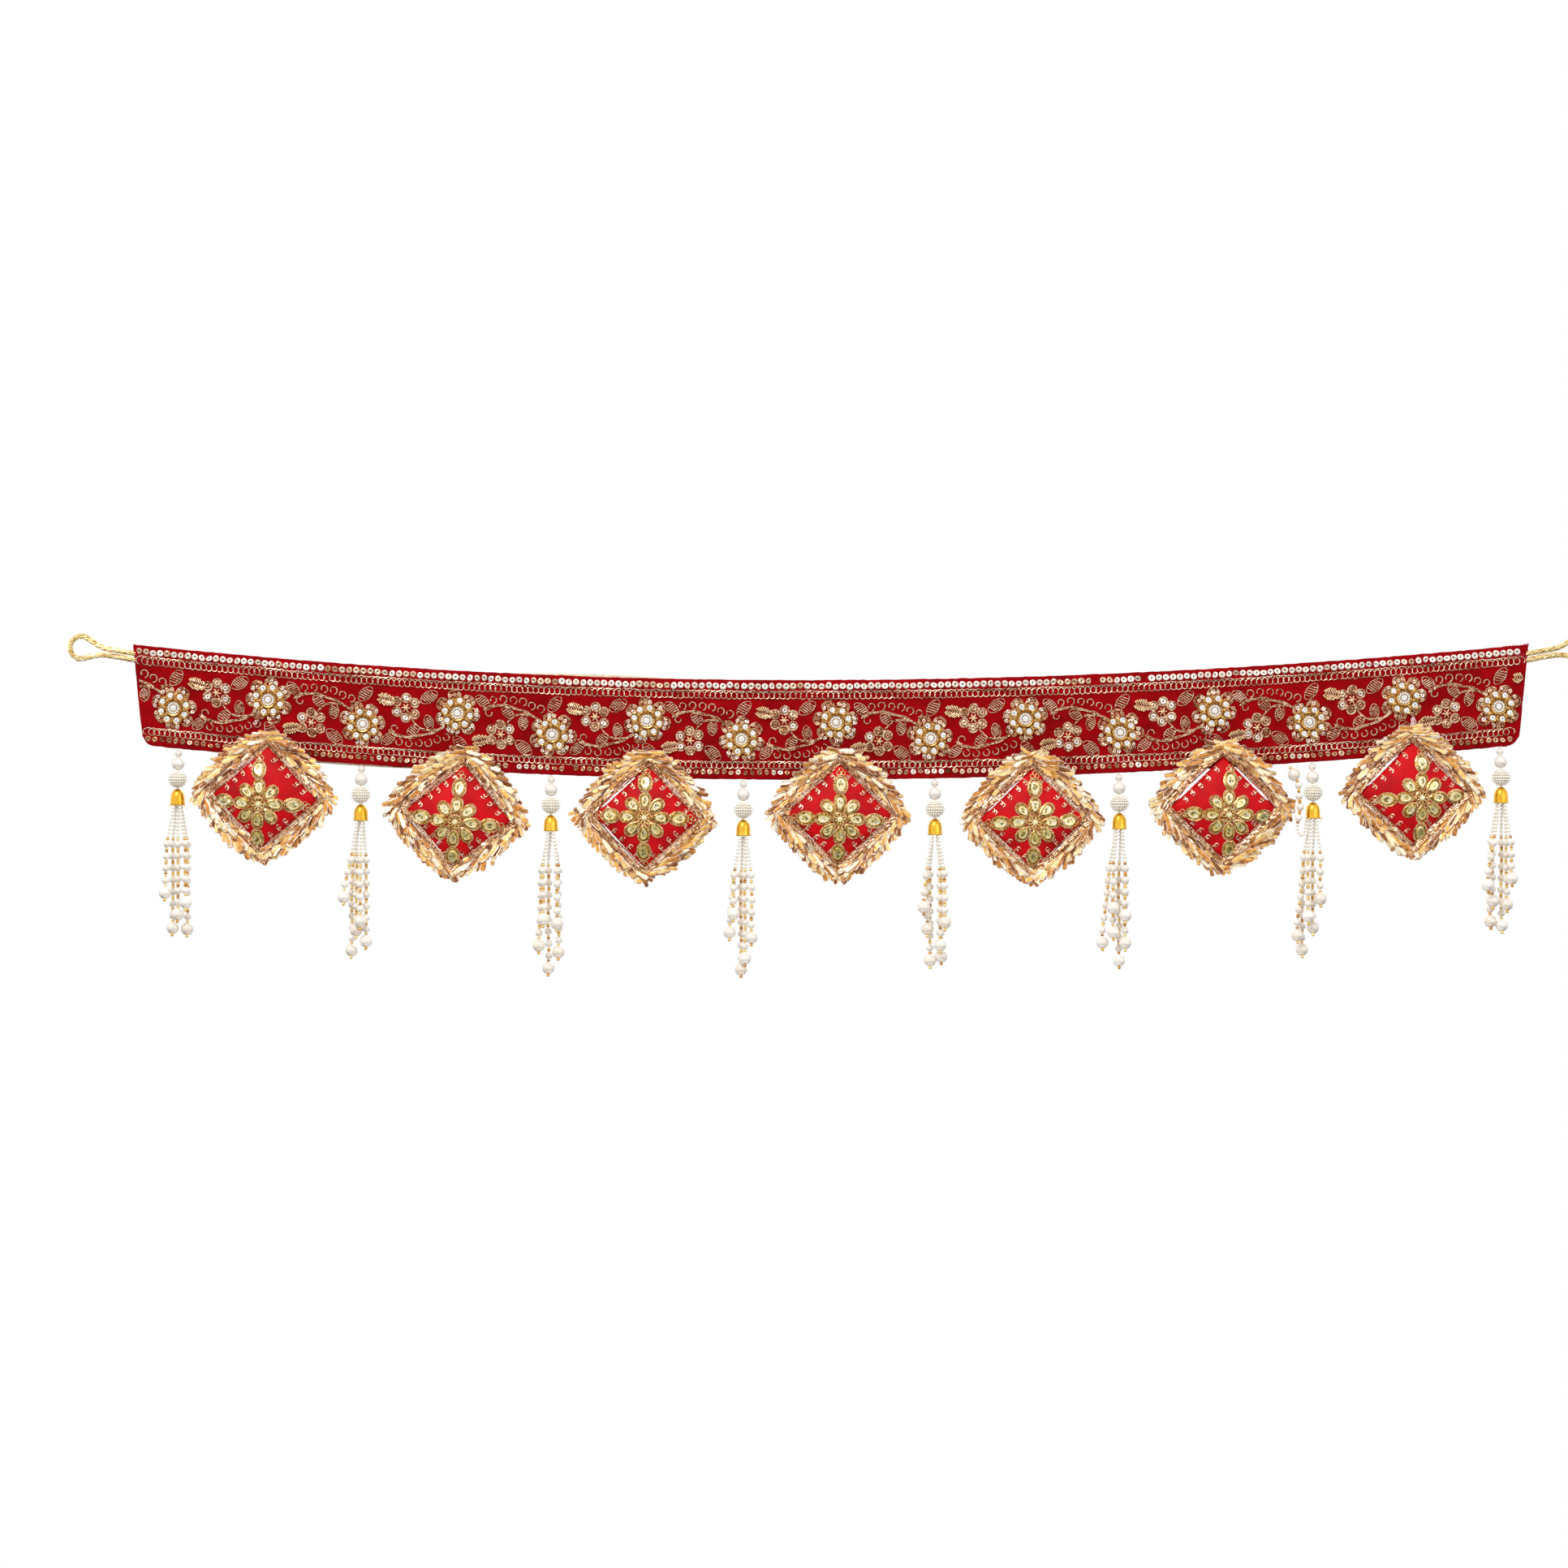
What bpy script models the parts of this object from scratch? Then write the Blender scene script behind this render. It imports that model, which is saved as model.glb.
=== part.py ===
"""Toran door hanging: a velvet band on two cord loops, with seven pads and eight bead tassels.

Metres, +Z up. The fronts face -Y. The origin is the middle of the band's top edge, in the
plane of the lining's back, and all the pieces hang in front of that plane.
"""

import math
import random

import bmesh
import bpy
from mathutils import Matrix, Vector

MM = 0.001
GAP = 0.3 * MM

# The band is 37 inches long when laid flat, and sags between its two loops.
BAND_HALF = 469 * MM
BAND_HEIGHT = 67 * MM
BAND_THICK = 2 * MM
LINING_THICK = 1 * MM
SAG = 24 * MM
LOW_POINT = -21 * MM
END_SLANT = 0.10
CORNER = 7.5 * MM
BAND_STEPS = 30

# The lining is hidden behind the velvet but for two stretches, where it shows past the edge.
LINING_INSET = 1 * MM
LINING_STRETCHES = (
    # how far it rises from hiding, its middle, half its length: the top edge, then the bottom
    (2.6 * MM, -160 * MM, 100 * MM),
    (2.3 * MM, -330 * MM, 130 * MM),
)

# Where each layer lies in front of the back plane.
BAND_BACK = -(LINING_THICK + GAP)
BAND_MIDDLE = BAND_BACK - BAND_THICK / 2
BAND_FRONT = BAND_BACK - BAND_THICK

# Jewelled flowers, high and low by turns along the band.
FLOWERS = 15
FLOWER_FIRST = -441.2 * MM
FLOWER_PITCH = 63.54 * MM
FLOWER_HIGH = 28.6 * MM
FLOWER_LOW = 40 * MM

# Pads: where the centre hangs, how far the top leans to the right, how far the stones lie off
# the centre, and how far the frill reaches from the centre.
PADS = (
    # x, z, lean in degrees, stones' x, stones' z, left, right, up, down
    (-379.3, -78.7, 3.5, -3.4, -4.7, 50.7, 47.0, 47.1, 44.1),
    (-249.5, -90.9, 6.8, -1.4, -4.6, 51.9, 45.0, 50.5, 41.8),
    (-123.6, -92.1, 2.2, -1.2, -0.2, 50.3, 45.5, 48.4, 44.4),
    (5.7, -90.3, 1.0, 0.3, -3.1, 48.0, 45.4, 47.3, 46.2),
    (135.5, -93.5, 0.0, 0.9, -2.0, 47.9, 45.8, 50.9, 43.0),
    (263.0, -85.8, 0.6, 3.1, -4.7, 49.8, 46.3, 48.6, 45.3),
    (390.3, -75.9, -0.8, 4.8, -3.3, 48.2, 45.7, 48.6, 43.1),
)
PAD_HALF_ACROSS = 37 * MM
PAD_HALF_UP = 36 * MM
PAD_CROWN = 9 * MM
PAD_BACK_CROWN = 4.5 * MM
PAD_SEAM = 0.8 * MM
PAD_DRAW_IN = 0.035
PAD_CELLS = 6
PAD_REST = 0.45 * MM

# Frills: slanting folded ribbons in a ring, fuller above the pad than below it.
FRILL_STEPS = 48
FRILL_SECTION = (
    # share of the way from the pad out to the rim, y in mm
    (0.0, -1.3),
    (0.45, -4.3),
    (1.0, 0.0),
    (0.0, 1.3),
)
FRILL_ROUND_ABOVE = 1.62
FRILL_ROUND_BELOW = 1.5
FRILL_SLANT = 0.085
FRILL_SHORTEST = 0.95
NOTCH_REACH = 0.9
NOTCH_DEPTH = 0.72

# Each flower and each pad's group of stones is a turned rosette of eight petals. A row of its
# section, from the middle of the back round the rim: radius and height in mm, and the share of
# each that is lost between two petals.
PETALS = 8
FLOWER_SECTION = (
    (0.0, 0.0, 0.0, 0.0),
    (10.8, 0.0, 0.14, 0.0),
    (11.0, 1.3, 0.16, 0.2),
    (8.4, 3.4, 0.08, 0.5),
    (4.9, 2.6, 0.0, 0.0),
    (0.0, 4.2, 0.0, 0.0),
)
STONES_SECTION = (
    (0.0, 0.0, 0.0, 0.0),
    (9.0, 0.0, 0.0, 0.0),
    (16.8, 0.0, 0.26, 0.0),
    (16.2, 1.2, 0.26, 0.5),
    (11.5, 2.6, 0.1, 0.7),
    (5.4, 1.4, 0.0, 0.0),
    (0.0, 3.0, 0.0, 0.0),
)

# Four leaf-shaped stones point outwards from a pad's rosette, towards the pad's corners.
LEAF_SIDES = 6
LEAF_LENGTH = 12.2 * MM
LEAF_WIDTH = 8 * MM
LEAF_HEIGHT = 2.2 * MM
LEAF_TOP = 0.5
LEAF_RING = 21.3 * MM
STONES_LIFT = 0.7 * MM

# Tassels: x, then the strands of the front, middle and rear rows in mm.
TASSELS = (
    # x, then rows of (sideways, drop to the last pearl's middle)
    (-438.2, (((-7.1, 58.4), (6.6, 65.0)), ((0.5, 73.0),), ((-3.8, 82.2), (6.0, 83.0)))),
    (-315.3, (((-10.4, 50.8), (0.5, 67.2)), ((-2.7, 73.2), (3.8, 80.5)), ((-6.6, 86.8),))),
    (-187.8, (((-4.6, 58.7), (4.6, 61.7)), ((-7.9, 76.4), (5.2, 80.8)), ((-1.9, 91.7),))),
    (-58.7, (((-6.6, 51.9), (5.5, 67.7)), ((-9.3, 64.4), (1.1, 81.9)), ((-1.6, 89.5),))),
    (69.9, (((-7.9, 48.0), (6.3, 58.4)), ((-5.2, 62.8), (3.3, 73.7)), ((-3.2, 84.1), (4.3, 81.5)))),
    (193.6, (((-4.9, 52.4), (3.3, 57.3)), ((-4.4, 68.8), (3.6, 76.0)), ((-11.2, 75.9), (0.0, 87.9)))),
    (323.5, (((-4.4, 65.2), (3.8, 53.5)), ((-10.9, 78.1), (-0.5, 72.9)), ((-7.1, 87.9),))),
    (449.6, (((-10.4, 54.6), (5.5, 50.2)), ((-6.0, 65.5), (3.3, 67.7)), ((-6.6, 79.2), (1.0, 81.9)))),
)

# One strand of one tassel is caught up beside the tassel's head.
STRAY_TASSEL = 7
STRAY_ROUTE = (
    # x, y, z in mm from the middle of the cap's rim
    (-4.1, -0.8, 2.0),
    (-4.4, -1.0, 0.0),
    (-5.6, -3.2, -6.0),
    (-7.2, -5.2, -10.5),
    (-9.8, -6.4, -10.6),
    (-11.4, -6.2, -6.5),
    (-10.6, -5.8, 0.0),
    (-9.2, -5.0, 7.3),
    (-9.9, -3.4, 15.3),
    (-10.0, -1.6, 22.9),
    (-12.8, -0.2, 29.5),
)
STRAY_POINTS = 31
STRAY_PEARLS = 4
STRAY_SEED_STEPS = 10

ROW_DEPTHS = (-14.0 * MM, -8.4 * MM, -2.8 * MM)
ROOT_SPACING = 2.9 * MM
SEED_LENGTH = 24.5 * MM
SEED_RADIUS = 1.2 * MM
PEARL_RADIUS = 2.5 * MM
PEARL_PITCH = 7.7 * MM
WAIST_RADIUS = 0.9 * MM
LAST_PEARL_RADIUS = 4.3 * MM
LAST_PEARL_LEVEL = 0.35
LAST_PEARL_SHARE = 0.95
LAST_PEARL_FORWARD = -1.5 * MM
END_BEAD_RADIUS = 1.1 * MM
END_BEAD_LENGTH = 2 * MM
FAN_LIMIT = 6.0 * MM
STRAND_SIDES = 4

# Beads above each tassel, on a thread from the band's lower edge.
THREAD_RADIUS = 0.6 * MM
BEAD_STACK = (
    # radius, half its height, centre below the edge, y
    (2.45, 2.45, 3.2, -3.0),
    (4.4, 4.4, 10.0, -5.0),
    (6.4, 5.7, 20.4, -7.0),
)
BEAD_PROFILE = (
    # distance below the middle and radius, as shares of a bead's own
    (-0.86, 0.5),
    (-0.4, 0.93),
    (0.4, 0.93),
    (0.86, 0.5),
)
BEAD_SIDES = 6
CAP_TOP = 27.3 * MM
CAP_DEPTH = -7.0 * MM
STRAND_ROOTS = 2 * MM
CAP_PROFILE = (
    # radius, distance below the cap's top
    (1.6, 0.0),
    (3.7, 1.7),
    (4.7, 4.4),
    (4.9, 10.6),
)
CAP_SIDES = 8

# Loops at the band's ends: two legs side by side, and an eye for a nail or a hook.
CORD_RADIUS = 1.9 * MM
CORD_DEPTH = -2.0 * MM
LOOP_BELOW_EDGE = 8.2 * MM
LOOP_START = 1.1 * MM
LOOP_RISE = math.radians(10)
LOOP_ROUTE = (
    # one half, in mm: distance out from the band's end, distance above the loop's middle line
    (0.0, 2.1),
    (11.5, 2.1),
    (21.0, 2.6),
    (30.6, 6.2),
    (34.5, 7.6),
    (38.5, 6.7),
    (41.5, 3.9),
    (42.6, 0.0),
)
LOOP_POINTS = 18

COLOURS = {
    # base colour, roughness, metallic
    "velvet": ((0.45, 0.0, 0.012), 0.85, 0.0),
    "lining": ((0.80, 0.68, 0.48), 0.8, 0.0),
    "gold_cord": ((0.80, 0.60, 0.22), 0.4, 0.8),
    "gold_ribbon": ((0.78, 0.50, 0.20), 0.35, 0.9),
    "kundan_stone": ((0.62, 0.55, 0.20), 0.12, 0.6),
    "crystal": ((0.85, 0.80, 0.66), 0.1, 0.4),
    "pearl": ((0.90, 0.87, 0.80), 0.25, 0.0),
}


def material(name):
    """The material of that name, made the first time it is asked for."""
    found = bpy.data.materials.get(name)
    if found:
        return found
    made = bpy.data.materials.new(name)
    made.use_nodes = True
    colour, roughness, metallic = COLOURS[name]
    shader = made.node_tree.nodes["Principled BSDF"]
    shader.inputs["Base Color"].default_value = (*colour, 1.0)
    shader.inputs["Roughness"].default_value = roughness
    shader.inputs["Metallic"].default_value = metallic
    return made


def place(obj, parent=None, location=(0, 0, 0), turn=0.0):
    """Links an object at its place, turned about the axis that points to the viewer."""
    bpy.context.scene.collection.objects.link(obj)
    obj.parent = parent
    obj.location = location
    obj.rotation_euler = (0, turn, 0)
    return obj


def mesh_from(name, bm, finish, crease=35):
    """A finished mesh with its faces outwards, smooth but for its sharp edges."""
    bmesh.ops.recalc_face_normals(bm, faces=bm.faces)
    mesh = bpy.data.meshes.new(name)
    bm.to_mesh(mesh)
    bm.free()
    mesh.materials.append(material(finish))
    mesh.shade_smooth()
    mesh.set_sharp_from_angle(angle=math.radians(crease))
    return mesh


def new_empty(name, location, turn=0.0):
    return place(bpy.data.objects.new(name, None), None, location, turn)


def fuse(name, bodies, finish):
    """One mesh from several overlapping bodies, which are bmesh objects."""
    objects = []
    group = bpy.data.collections.new(name + "_bodies")
    for number, bm in enumerate(bodies):
        obj = bpy.data.objects.new(f"{name}_body_{number}", mesh_from(name, bm, finish))
        objects.append(obj)
        if number:
            group.objects.link(obj)
    bpy.context.scene.collection.objects.link(objects[0])
    bpy.context.scene.collection.children.link(group)
    union = objects[0].modifiers.new("union", "BOOLEAN")
    union.operation = "UNION"
    union.operand_type = "COLLECTION"
    union.collection = group
    union.solver = "EXACT"
    evaluated = objects[0].evaluated_get(bpy.context.evaluated_depsgraph_get())
    mesh = bpy.data.meshes.new_from_object(evaluated)
    mesh.name = name
    for obj in objects:
        bpy.data.objects.remove(obj)
    bpy.data.collections.remove(group)
    return mesh


def top_edge(x):
    """Height of the band's top edge at x."""
    reach = BAND_HALF + LOW_POINT if x < LOW_POINT else BAND_HALF - LOW_POINT
    return SAG * ((x - LOW_POINT) / reach) ** 2


def edge_slope(x):
    """Turn about +Y that sets an upright object square to the band's top edge at x."""
    return -math.atan2(top_edge(x + MM) - top_edge(x - MM), 2 * MM)


def bump(x, centre, half_width):
    """1 at centre, falling smoothly to 0 at half_width on either side."""
    share = min(1.0, abs(x - centre) / half_width)
    return 0.5 + 0.5 * math.cos(math.pi * share)


def band_outline(raise_top, lower_bottom, inset=0.0):
    """Outline of a strip cut to the band's shape, as (x, z) points."""
    half = BAND_HALF - inset
    top = []
    bottom = []
    for step in range(BAND_STEPS + 1):
        x = half * (2 * step / BAND_STEPS - 1)
        top.append((x, top_edge(x) + raise_top(x)))
        drawn_in = x * (1 - END_SLANT * BAND_HEIGHT / half)
        bottom.append((drawn_in, top_edge(drawn_in) - BAND_HEIGHT - lower_bottom(x)))
    corner_x, corner_z = bottom[0]
    rounded = []
    for degrees in (180, 210, 240, 270):
        angle = math.radians(degrees)
        rounded.append(
            (
                corner_x + CORNER * (1 + math.cos(angle)),
                corner_z + CORNER * (1 + math.sin(angle)),
            )
        )
    return top + bottom[:0:-1] + rounded[::-1]


def make_strip(name, outline, back, thick, finish):
    """A flat cloth strip of that outline, its back at y = back."""
    bm = bmesh.new()
    face = bm.faces.new([bm.verts.new((x, back, z)) for x, z in outline])
    front = bmesh.ops.extrude_face_region(bm, geom=[face])
    moved = [v for v in front["geom"] if isinstance(v, bmesh.types.BMVert)]
    bmesh.ops.translate(bm, verts=moved, vec=(0, -thick, 0))
    place(bpy.data.objects.new(name, mesh_from(name, bm, finish)))


def make_band():
    """The velvet face, and the lining that shows a little above and below it."""
    outline = band_outline(lambda x: 0, lambda x: 0)
    make_strip("band", outline, BAND_BACK, BAND_THICK, "velvet")
    above, below = LINING_STRETCHES
    outline = band_outline(
        lambda x: above[0] * bump(x, *above[1:]) - LINING_INSET,
        lambda x: below[0] * bump(x, *below[1:]) - LINING_INSET,
        LINING_INSET,
    )
    make_strip("lining", outline, 0, LINING_THICK, "lining")


def loop_route(side):
    """Points of a tie's centreline: out along one leg, round the eye and back."""
    along = Vector((side * math.cos(LOOP_RISE), 0, math.sin(LOOP_RISE)))
    across = Vector((-side * math.sin(LOOP_RISE), 0, math.cos(LOOP_RISE)))
    start_x = BAND_HALF - END_SLANT * LOOP_BELOW_EDGE + LOOP_START
    level = top_edge(side * BAND_HALF) - LOOP_BELOW_EDGE
    start = Vector((side * start_x, CORD_DEPTH, level))
    mirrored = [(out, -up) for out, up in LOOP_ROUTE[-2::-1]]
    return [start + (along * out + across * up) * MM for out, up in (*LOOP_ROUTE, *mirrored)]


def smooth_points(key_points, count):
    """Evenly stepped points on a smooth curve through the key points."""
    points = []
    spans = len(key_points) - 1
    for step in range(count):
        place_on = spans * step / (count - 1)
        span = min(int(place_on), spans - 1)
        part = place_on - span
        before = key_points[max(span - 1, 0)]
        here, there = key_points[span], key_points[span + 1]
        after = key_points[min(span + 2, spans)]
        points.append(
            0.5
            * (
                2 * here
                + (there - before) * part
                + (2 * before - 5 * here + 4 * there - after) * part**2
                + (3 * here - before - 3 * there + after) * part**3
            )
        )
    return points


def make_tie(name, side):
    """A loop of gold cord sewn into one end of the band."""
    curve = bpy.data.curves.new(name, "CURVE")
    curve.dimensions = "3D"
    curve.bevel_depth = CORD_RADIUS
    curve.bevel_resolution = 2
    curve.use_fill_caps = True
    route = smooth_points(loop_route(side), LOOP_POINTS)
    spline = curve.splines.new("POLY")
    spline.points.add(len(route) - 1)
    for point, position in zip(spline.points, route):
        point.co = (*position, 1.0)
    curve.materials.append(material("gold_cord"))
    place(bpy.data.objects.new(name, curve))


def rosette(section):
    """A turned body with its back at y = 0, drawn in and sunk between its petals."""
    bm = bmesh.new()
    verts = [bm.verts.new((radius * MM, -height * MM, 0)) for radius, height, *_ in section]
    edges = [bm.edges.new(pair) for pair in zip(verts, verts[1:])]
    steps = 2 * PETALS
    bmesh.ops.spin(
        bm,
        geom=verts + edges,
        cent=(0, 0, 0),
        axis=(0, 1, 0),
        angle=math.tau,
        steps=steps,
        use_merge=True,
    )
    bmesh.ops.remove_doubles(bm, verts=bm.verts, dist=0.01 * MM)
    for vert in bm.verts:
        radius = math.hypot(vert.co.x, vert.co.z)
        step = round(math.atan2(vert.co.z, vert.co.x) / math.tau * steps)
        if step % 2:
            *_, narrower, lower = min(section, key=lambda row: abs(row[0] * MM - radius))
            vert.co.x *= 1 - narrower
            vert.co.z *= 1 - narrower
            vert.co.y *= 1 - lower
    return bm


def make_flowers():
    mesh = mesh_from("flower", rosette(FLOWER_SECTION), "crystal")
    for number in range(FLOWERS):
        x = FLOWER_FIRST + number * FLOWER_PITCH
        depth = FLOWER_HIGH if number % 2 else FLOWER_LOW
        place(
            bpy.data.objects.new(f"flower_{number + 1}", mesh),
            None,
            (x, BAND_FRONT - GAP, top_edge(x) - depth),
            edge_slope(x),
        )


def pad_point(u, v):
    """Where the seam-plane point (u, v) of a pad lies, its sides drawn in between corners."""
    drawn_u = u * (1 - PAD_DRAW_IN * (1 - v * v))
    drawn_v = v * (1 - PAD_DRAW_IN * (1 - u * u))
    return (drawn_u - drawn_v) / 2 * PAD_HALF_ACROSS, (drawn_u + drawn_v) / 2 * PAD_HALF_UP


def pad_swell(u, v):
    """Share of the full crown at (u, v): 1 in the middle, 0 along the seams."""
    return math.sqrt(max(0.0, (1 - u * u) * (1 - v * v)))


def make_pad(name, parent):
    """A stuffed square pad that hangs from one corner."""
    bm = bmesh.new()
    bmesh.ops.create_grid(bm, x_segments=PAD_CELLS, y_segments=PAD_CELLS, size=1)
    front = bmesh.ops.extrude_face_region(bm, geom=bm.faces[:])
    front_verts = {v for v in front["geom"] if isinstance(v, bmesh.types.BMVert)}
    for vert in bm.verts:
        u, v = vert.co.x, vert.co.y
        across, up = pad_point(u, v)
        if vert in front_verts:
            depth = -PAD_SEAM - PAD_CROWN * pad_swell(u, v)
        else:
            depth = PAD_SEAM + PAD_BACK_CROWN * pad_swell(u, v)
        vert.co = (across, depth, up)
    place(bpy.data.objects.new(name, mesh_from(name, bm, "velvet", 60)), parent)


def diamond_radius(angle, across, up, roundness):
    """Distance from the centre to a superellipse at that angle."""
    flat = abs(math.cos(angle) / across) ** roundness
    tall = abs(math.sin(angle) / up) ** roundness
    return (flat + tall) ** (-1 / roundness)


def make_frill(name, parent, reach, seed):
    """A ring of slanting folded ribbons round a pad, toothed at its rim."""
    left, right, up, down = (r * MM for r in reach)
    rng = random.Random(seed)
    lengths = [rng.uniform(FRILL_SHORTEST, 1) for _ in range(FRILL_STEPS)]
    bm = bmesh.new()
    verts = [bm.verts.new((1 + out, y * MM, 0)) for out, y in FRILL_SECTION]
    edges = [bm.edges.new(pair) for pair in zip(verts, verts[1:] + verts[:1])]
    bmesh.ops.spin(
        bm,
        geom=verts + edges,
        cent=(0, 0, 0),
        axis=(0, 1, 0),
        angle=math.tau,
        steps=FRILL_STEPS,
        use_merge=True,
    )
    bmesh.ops.remove_doubles(bm, verts=bm.verts, dist=0.01 * MM)
    for vert in bm.verts:
        out = math.hypot(vert.co.x, vert.co.z) - 1
        angle = math.atan2(vert.co.z, vert.co.x)
        step = round(angle / math.tau * FRILL_STEPS) % FRILL_STEPS
        in_notch = step % 2 == 1
        slanted = angle - FRILL_SLANT * math.cos(angle) * out
        across = right if math.cos(angle) > 0 else left
        tall, roundness = (up, FRILL_ROUND_ABOVE) if vert.co.z > 0 else (down, FRILL_ROUND_BELOW)
        rim = diamond_radius(slanted, across, tall, roundness) * lengths[step]
        inner = diamond_radius(angle, PAD_HALF_ACROSS, PAD_HALF_UP, 1) + 2 * GAP
        if in_notch:
            rim *= NOTCH_REACH
            vert.co.y *= 1 - (1 - NOTCH_DEPTH) * min(1, 2 * out)
        radius = inner + (rim - inner) * out
        vert.co.x = radius * math.cos(slanted)
        vert.co.z = radius * math.sin(slanted)
    place(bpy.data.objects.new(name, mesh_from(name, bm, "gold_ribbon", 20)), parent)


def crown_height(across, up):
    """How far the pad's front stands out from its seam plane at that point."""
    u = across / PAD_HALF_ACROSS + up / PAD_HALF_UP
    v = up / PAD_HALF_UP - across / PAD_HALF_ACROSS
    return PAD_SEAM + PAD_CROWN * pad_swell(u, v)


def leaf_stone(angle):
    """A long stone with a flat top, pointing outwards at that angle, its back at y = 0."""
    bm = bmesh.new()
    bmesh.ops.create_cone(
        bm,
        cap_ends=True,
        segments=LEAF_SIDES,
        radius1=0.5,
        radius2=0.5 * LEAF_TOP,
        depth=1,
        matrix=Matrix.Translation((0, 0, 0.5)) @ Matrix.Rotation(math.pi / 2, 4, "Z"),
    )
    bmesh.ops.scale(bm, verts=bm.verts, vec=(LEAF_LENGTH, LEAF_WIDTH, LEAF_HEIGHT))
    bmesh.ops.translate(bm, verts=bm.verts, vec=(LEAF_RING, 0, 0))
    facing = Matrix.Rotation(math.pi / 2, 4, "X") @ Matrix.Rotation(angle, 4, "Z")
    bmesh.ops.transform(bm, matrix=facing, verts=bm.verts)
    return bm


def make_stones(name, parent, middle):
    """A rosette and four leaves in one piece, laid on the pad's crown."""
    bodies = [rosette(STONES_SECTION)]
    for quarter in range(4):
        bodies.append(leaf_stone(quarter * math.tau / 4))
    mesh = fuse("stones", bodies, "kundan_stone")
    for vert in mesh.vertices:
        vert.co.x += middle.x
        vert.co.z += middle.y
        vert.co.y -= STONES_LIFT + crown_height(vert.co.x, vert.co.z)
    place(bpy.data.objects.new(name, mesh), parent)


def seam_plane(x, z):
    """Where a pad's seams lie, its back just in front of the band's lower edge."""
    above = top_edge(x) - BAND_HEIGHT - z
    swell = 1 - (above / PAD_HALF_UP) ** 2
    return BAND_FRONT - PAD_REST - PAD_SEAM - PAD_BACK_CROWN * swell


def make_pads():
    for number, row in enumerate(PADS, start=1):
        x, z, lean, stones_x, stones_z, *reach = row
        location = (x * MM, seam_plane(x * MM, z * MM), z * MM)
        hang = new_empty(f"pad_hang_{number}", location, math.radians(lean))
        make_pad(f"pad_{number}", hang)
        make_frill(f"frill_{number}", hang, reach, seed=number)
        make_stones(f"stones_{number}", hang, Vector((stones_x, stones_z)) * MM)


def loft(sections, sides):
    """A closed body through round sections: each a centre, a radius and a direction."""
    bm = bmesh.new()
    loops = []
    for centre, radius, direction in sections:
        across = Vector((0, 1, 0)).cross(direction).normalized()
        facing = Matrix((across, direction.cross(across), direction)).transposed().to_4x4()
        matrix = Matrix.Translation(centre) @ facing @ Matrix.Rotation(math.pi / sides, 4, "Z")
        circle = bmesh.ops.create_circle(bm, segments=sides, radius=radius, matrix=matrix)
        loops.append(list({edge for vert in circle["verts"] for edge in vert.link_edges}))
    for upper, lower in zip(loops, loops[1:]):
        bmesh.ops.bridge_loops(bm, edges=upper + lower)
    bmesh.ops.holes_fill(bm, edges=loops[0] + loops[-1], sides=sides)
    return bm


def point_along(route, distance):
    """The point at that distance along a route, or past its end, and the direction there."""
    for start, end in zip(route, route[1:]):
        step = end - start
        if distance <= step.length or end is route[-1]:
            break
        distance -= step.length
    direction = step.normalized()
    return start + direction * distance, direction


def pearl_string(route, pearls, seed_steps=1):
    """Seed beads, then pearls, then a large pearl and an end bead, strung along a route."""
    total = sum((end - start).length for start, end in zip(route, route[1:]))
    pitch = (total - LAST_PEARL_RADIUS - SEED_LENGTH) / pearls
    profile = [(SEED_LENGTH * step / seed_steps, SEED_RADIUS) for step in range(seed_steps)]
    for number in range(pearls):
        above = SEED_LENGTH + pitch * number
        profile.append((above, WAIST_RADIUS))
        profile.append((above + pitch / 2, PEARL_RADIUS))
    profile.append((total - LAST_PEARL_RADIUS, WAIST_RADIUS))
    for side in (-1, 1):
        level = side * LAST_PEARL_LEVEL * LAST_PEARL_RADIUS
        profile.append((total + level, LAST_PEARL_SHARE * LAST_PEARL_RADIUS))
    profile.append((total + LAST_PEARL_RADIUS + END_BEAD_LENGTH, END_BEAD_RADIUS))
    # A square with a circle's area has a corner this much further out.
    corner = math.sqrt(math.pi / 2)
    sections = []
    for distance, radius in profile:
        centre, direction = point_along(route, distance)
        sections.append((centre, radius * corner, direction))
    return loft(sections, STRAND_SIDES)


def strand_route(row, root_x, sideways, drop):
    """From inside the cap, out to the strand's row, and straight down to its last pearl."""
    root_y = (row - 1) * ROOT_SPACING
    row_y = ROW_DEPTHS[row] - CAP_DEPTH
    fan_x = max(-FAN_LIMIT, min(FAN_LIMIT, sideways))
    return [
        Vector((root_x, root_y, STRAND_ROOTS)),
        Vector((fan_x, row_y, -SEED_LENGTH)),
        Vector((sideways, row_y, LAST_PEARL_RADIUS - drop)),
        Vector((sideways, row_y + LAST_PEARL_FORWARD, -drop)),
    ]


def make_beads(name, parent):
    """Three beads on a thread from the band's edge to the cap, the lowest of seed beads."""
    down = Vector((0, 0, -1))
    sections = [(Vector((0, BAND_MIDDLE, -GAP)), THREAD_RADIUS, down)]
    for radius, height, below, depth in BEAD_STACK:
        for level, share in BEAD_PROFILE:
            centre = Vector((0, depth, -below - level * height)) * MM
            sections.append((centre, share * radius * MM, down))
    sections.append((Vector((0, CAP_DEPTH, GAP - CAP_TOP)), THREAD_RADIUS, down))
    mesh = mesh_from("beads", loft(sections, BEAD_SIDES), "pearl")
    place(bpy.data.objects.new(name, mesh), parent)


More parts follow.
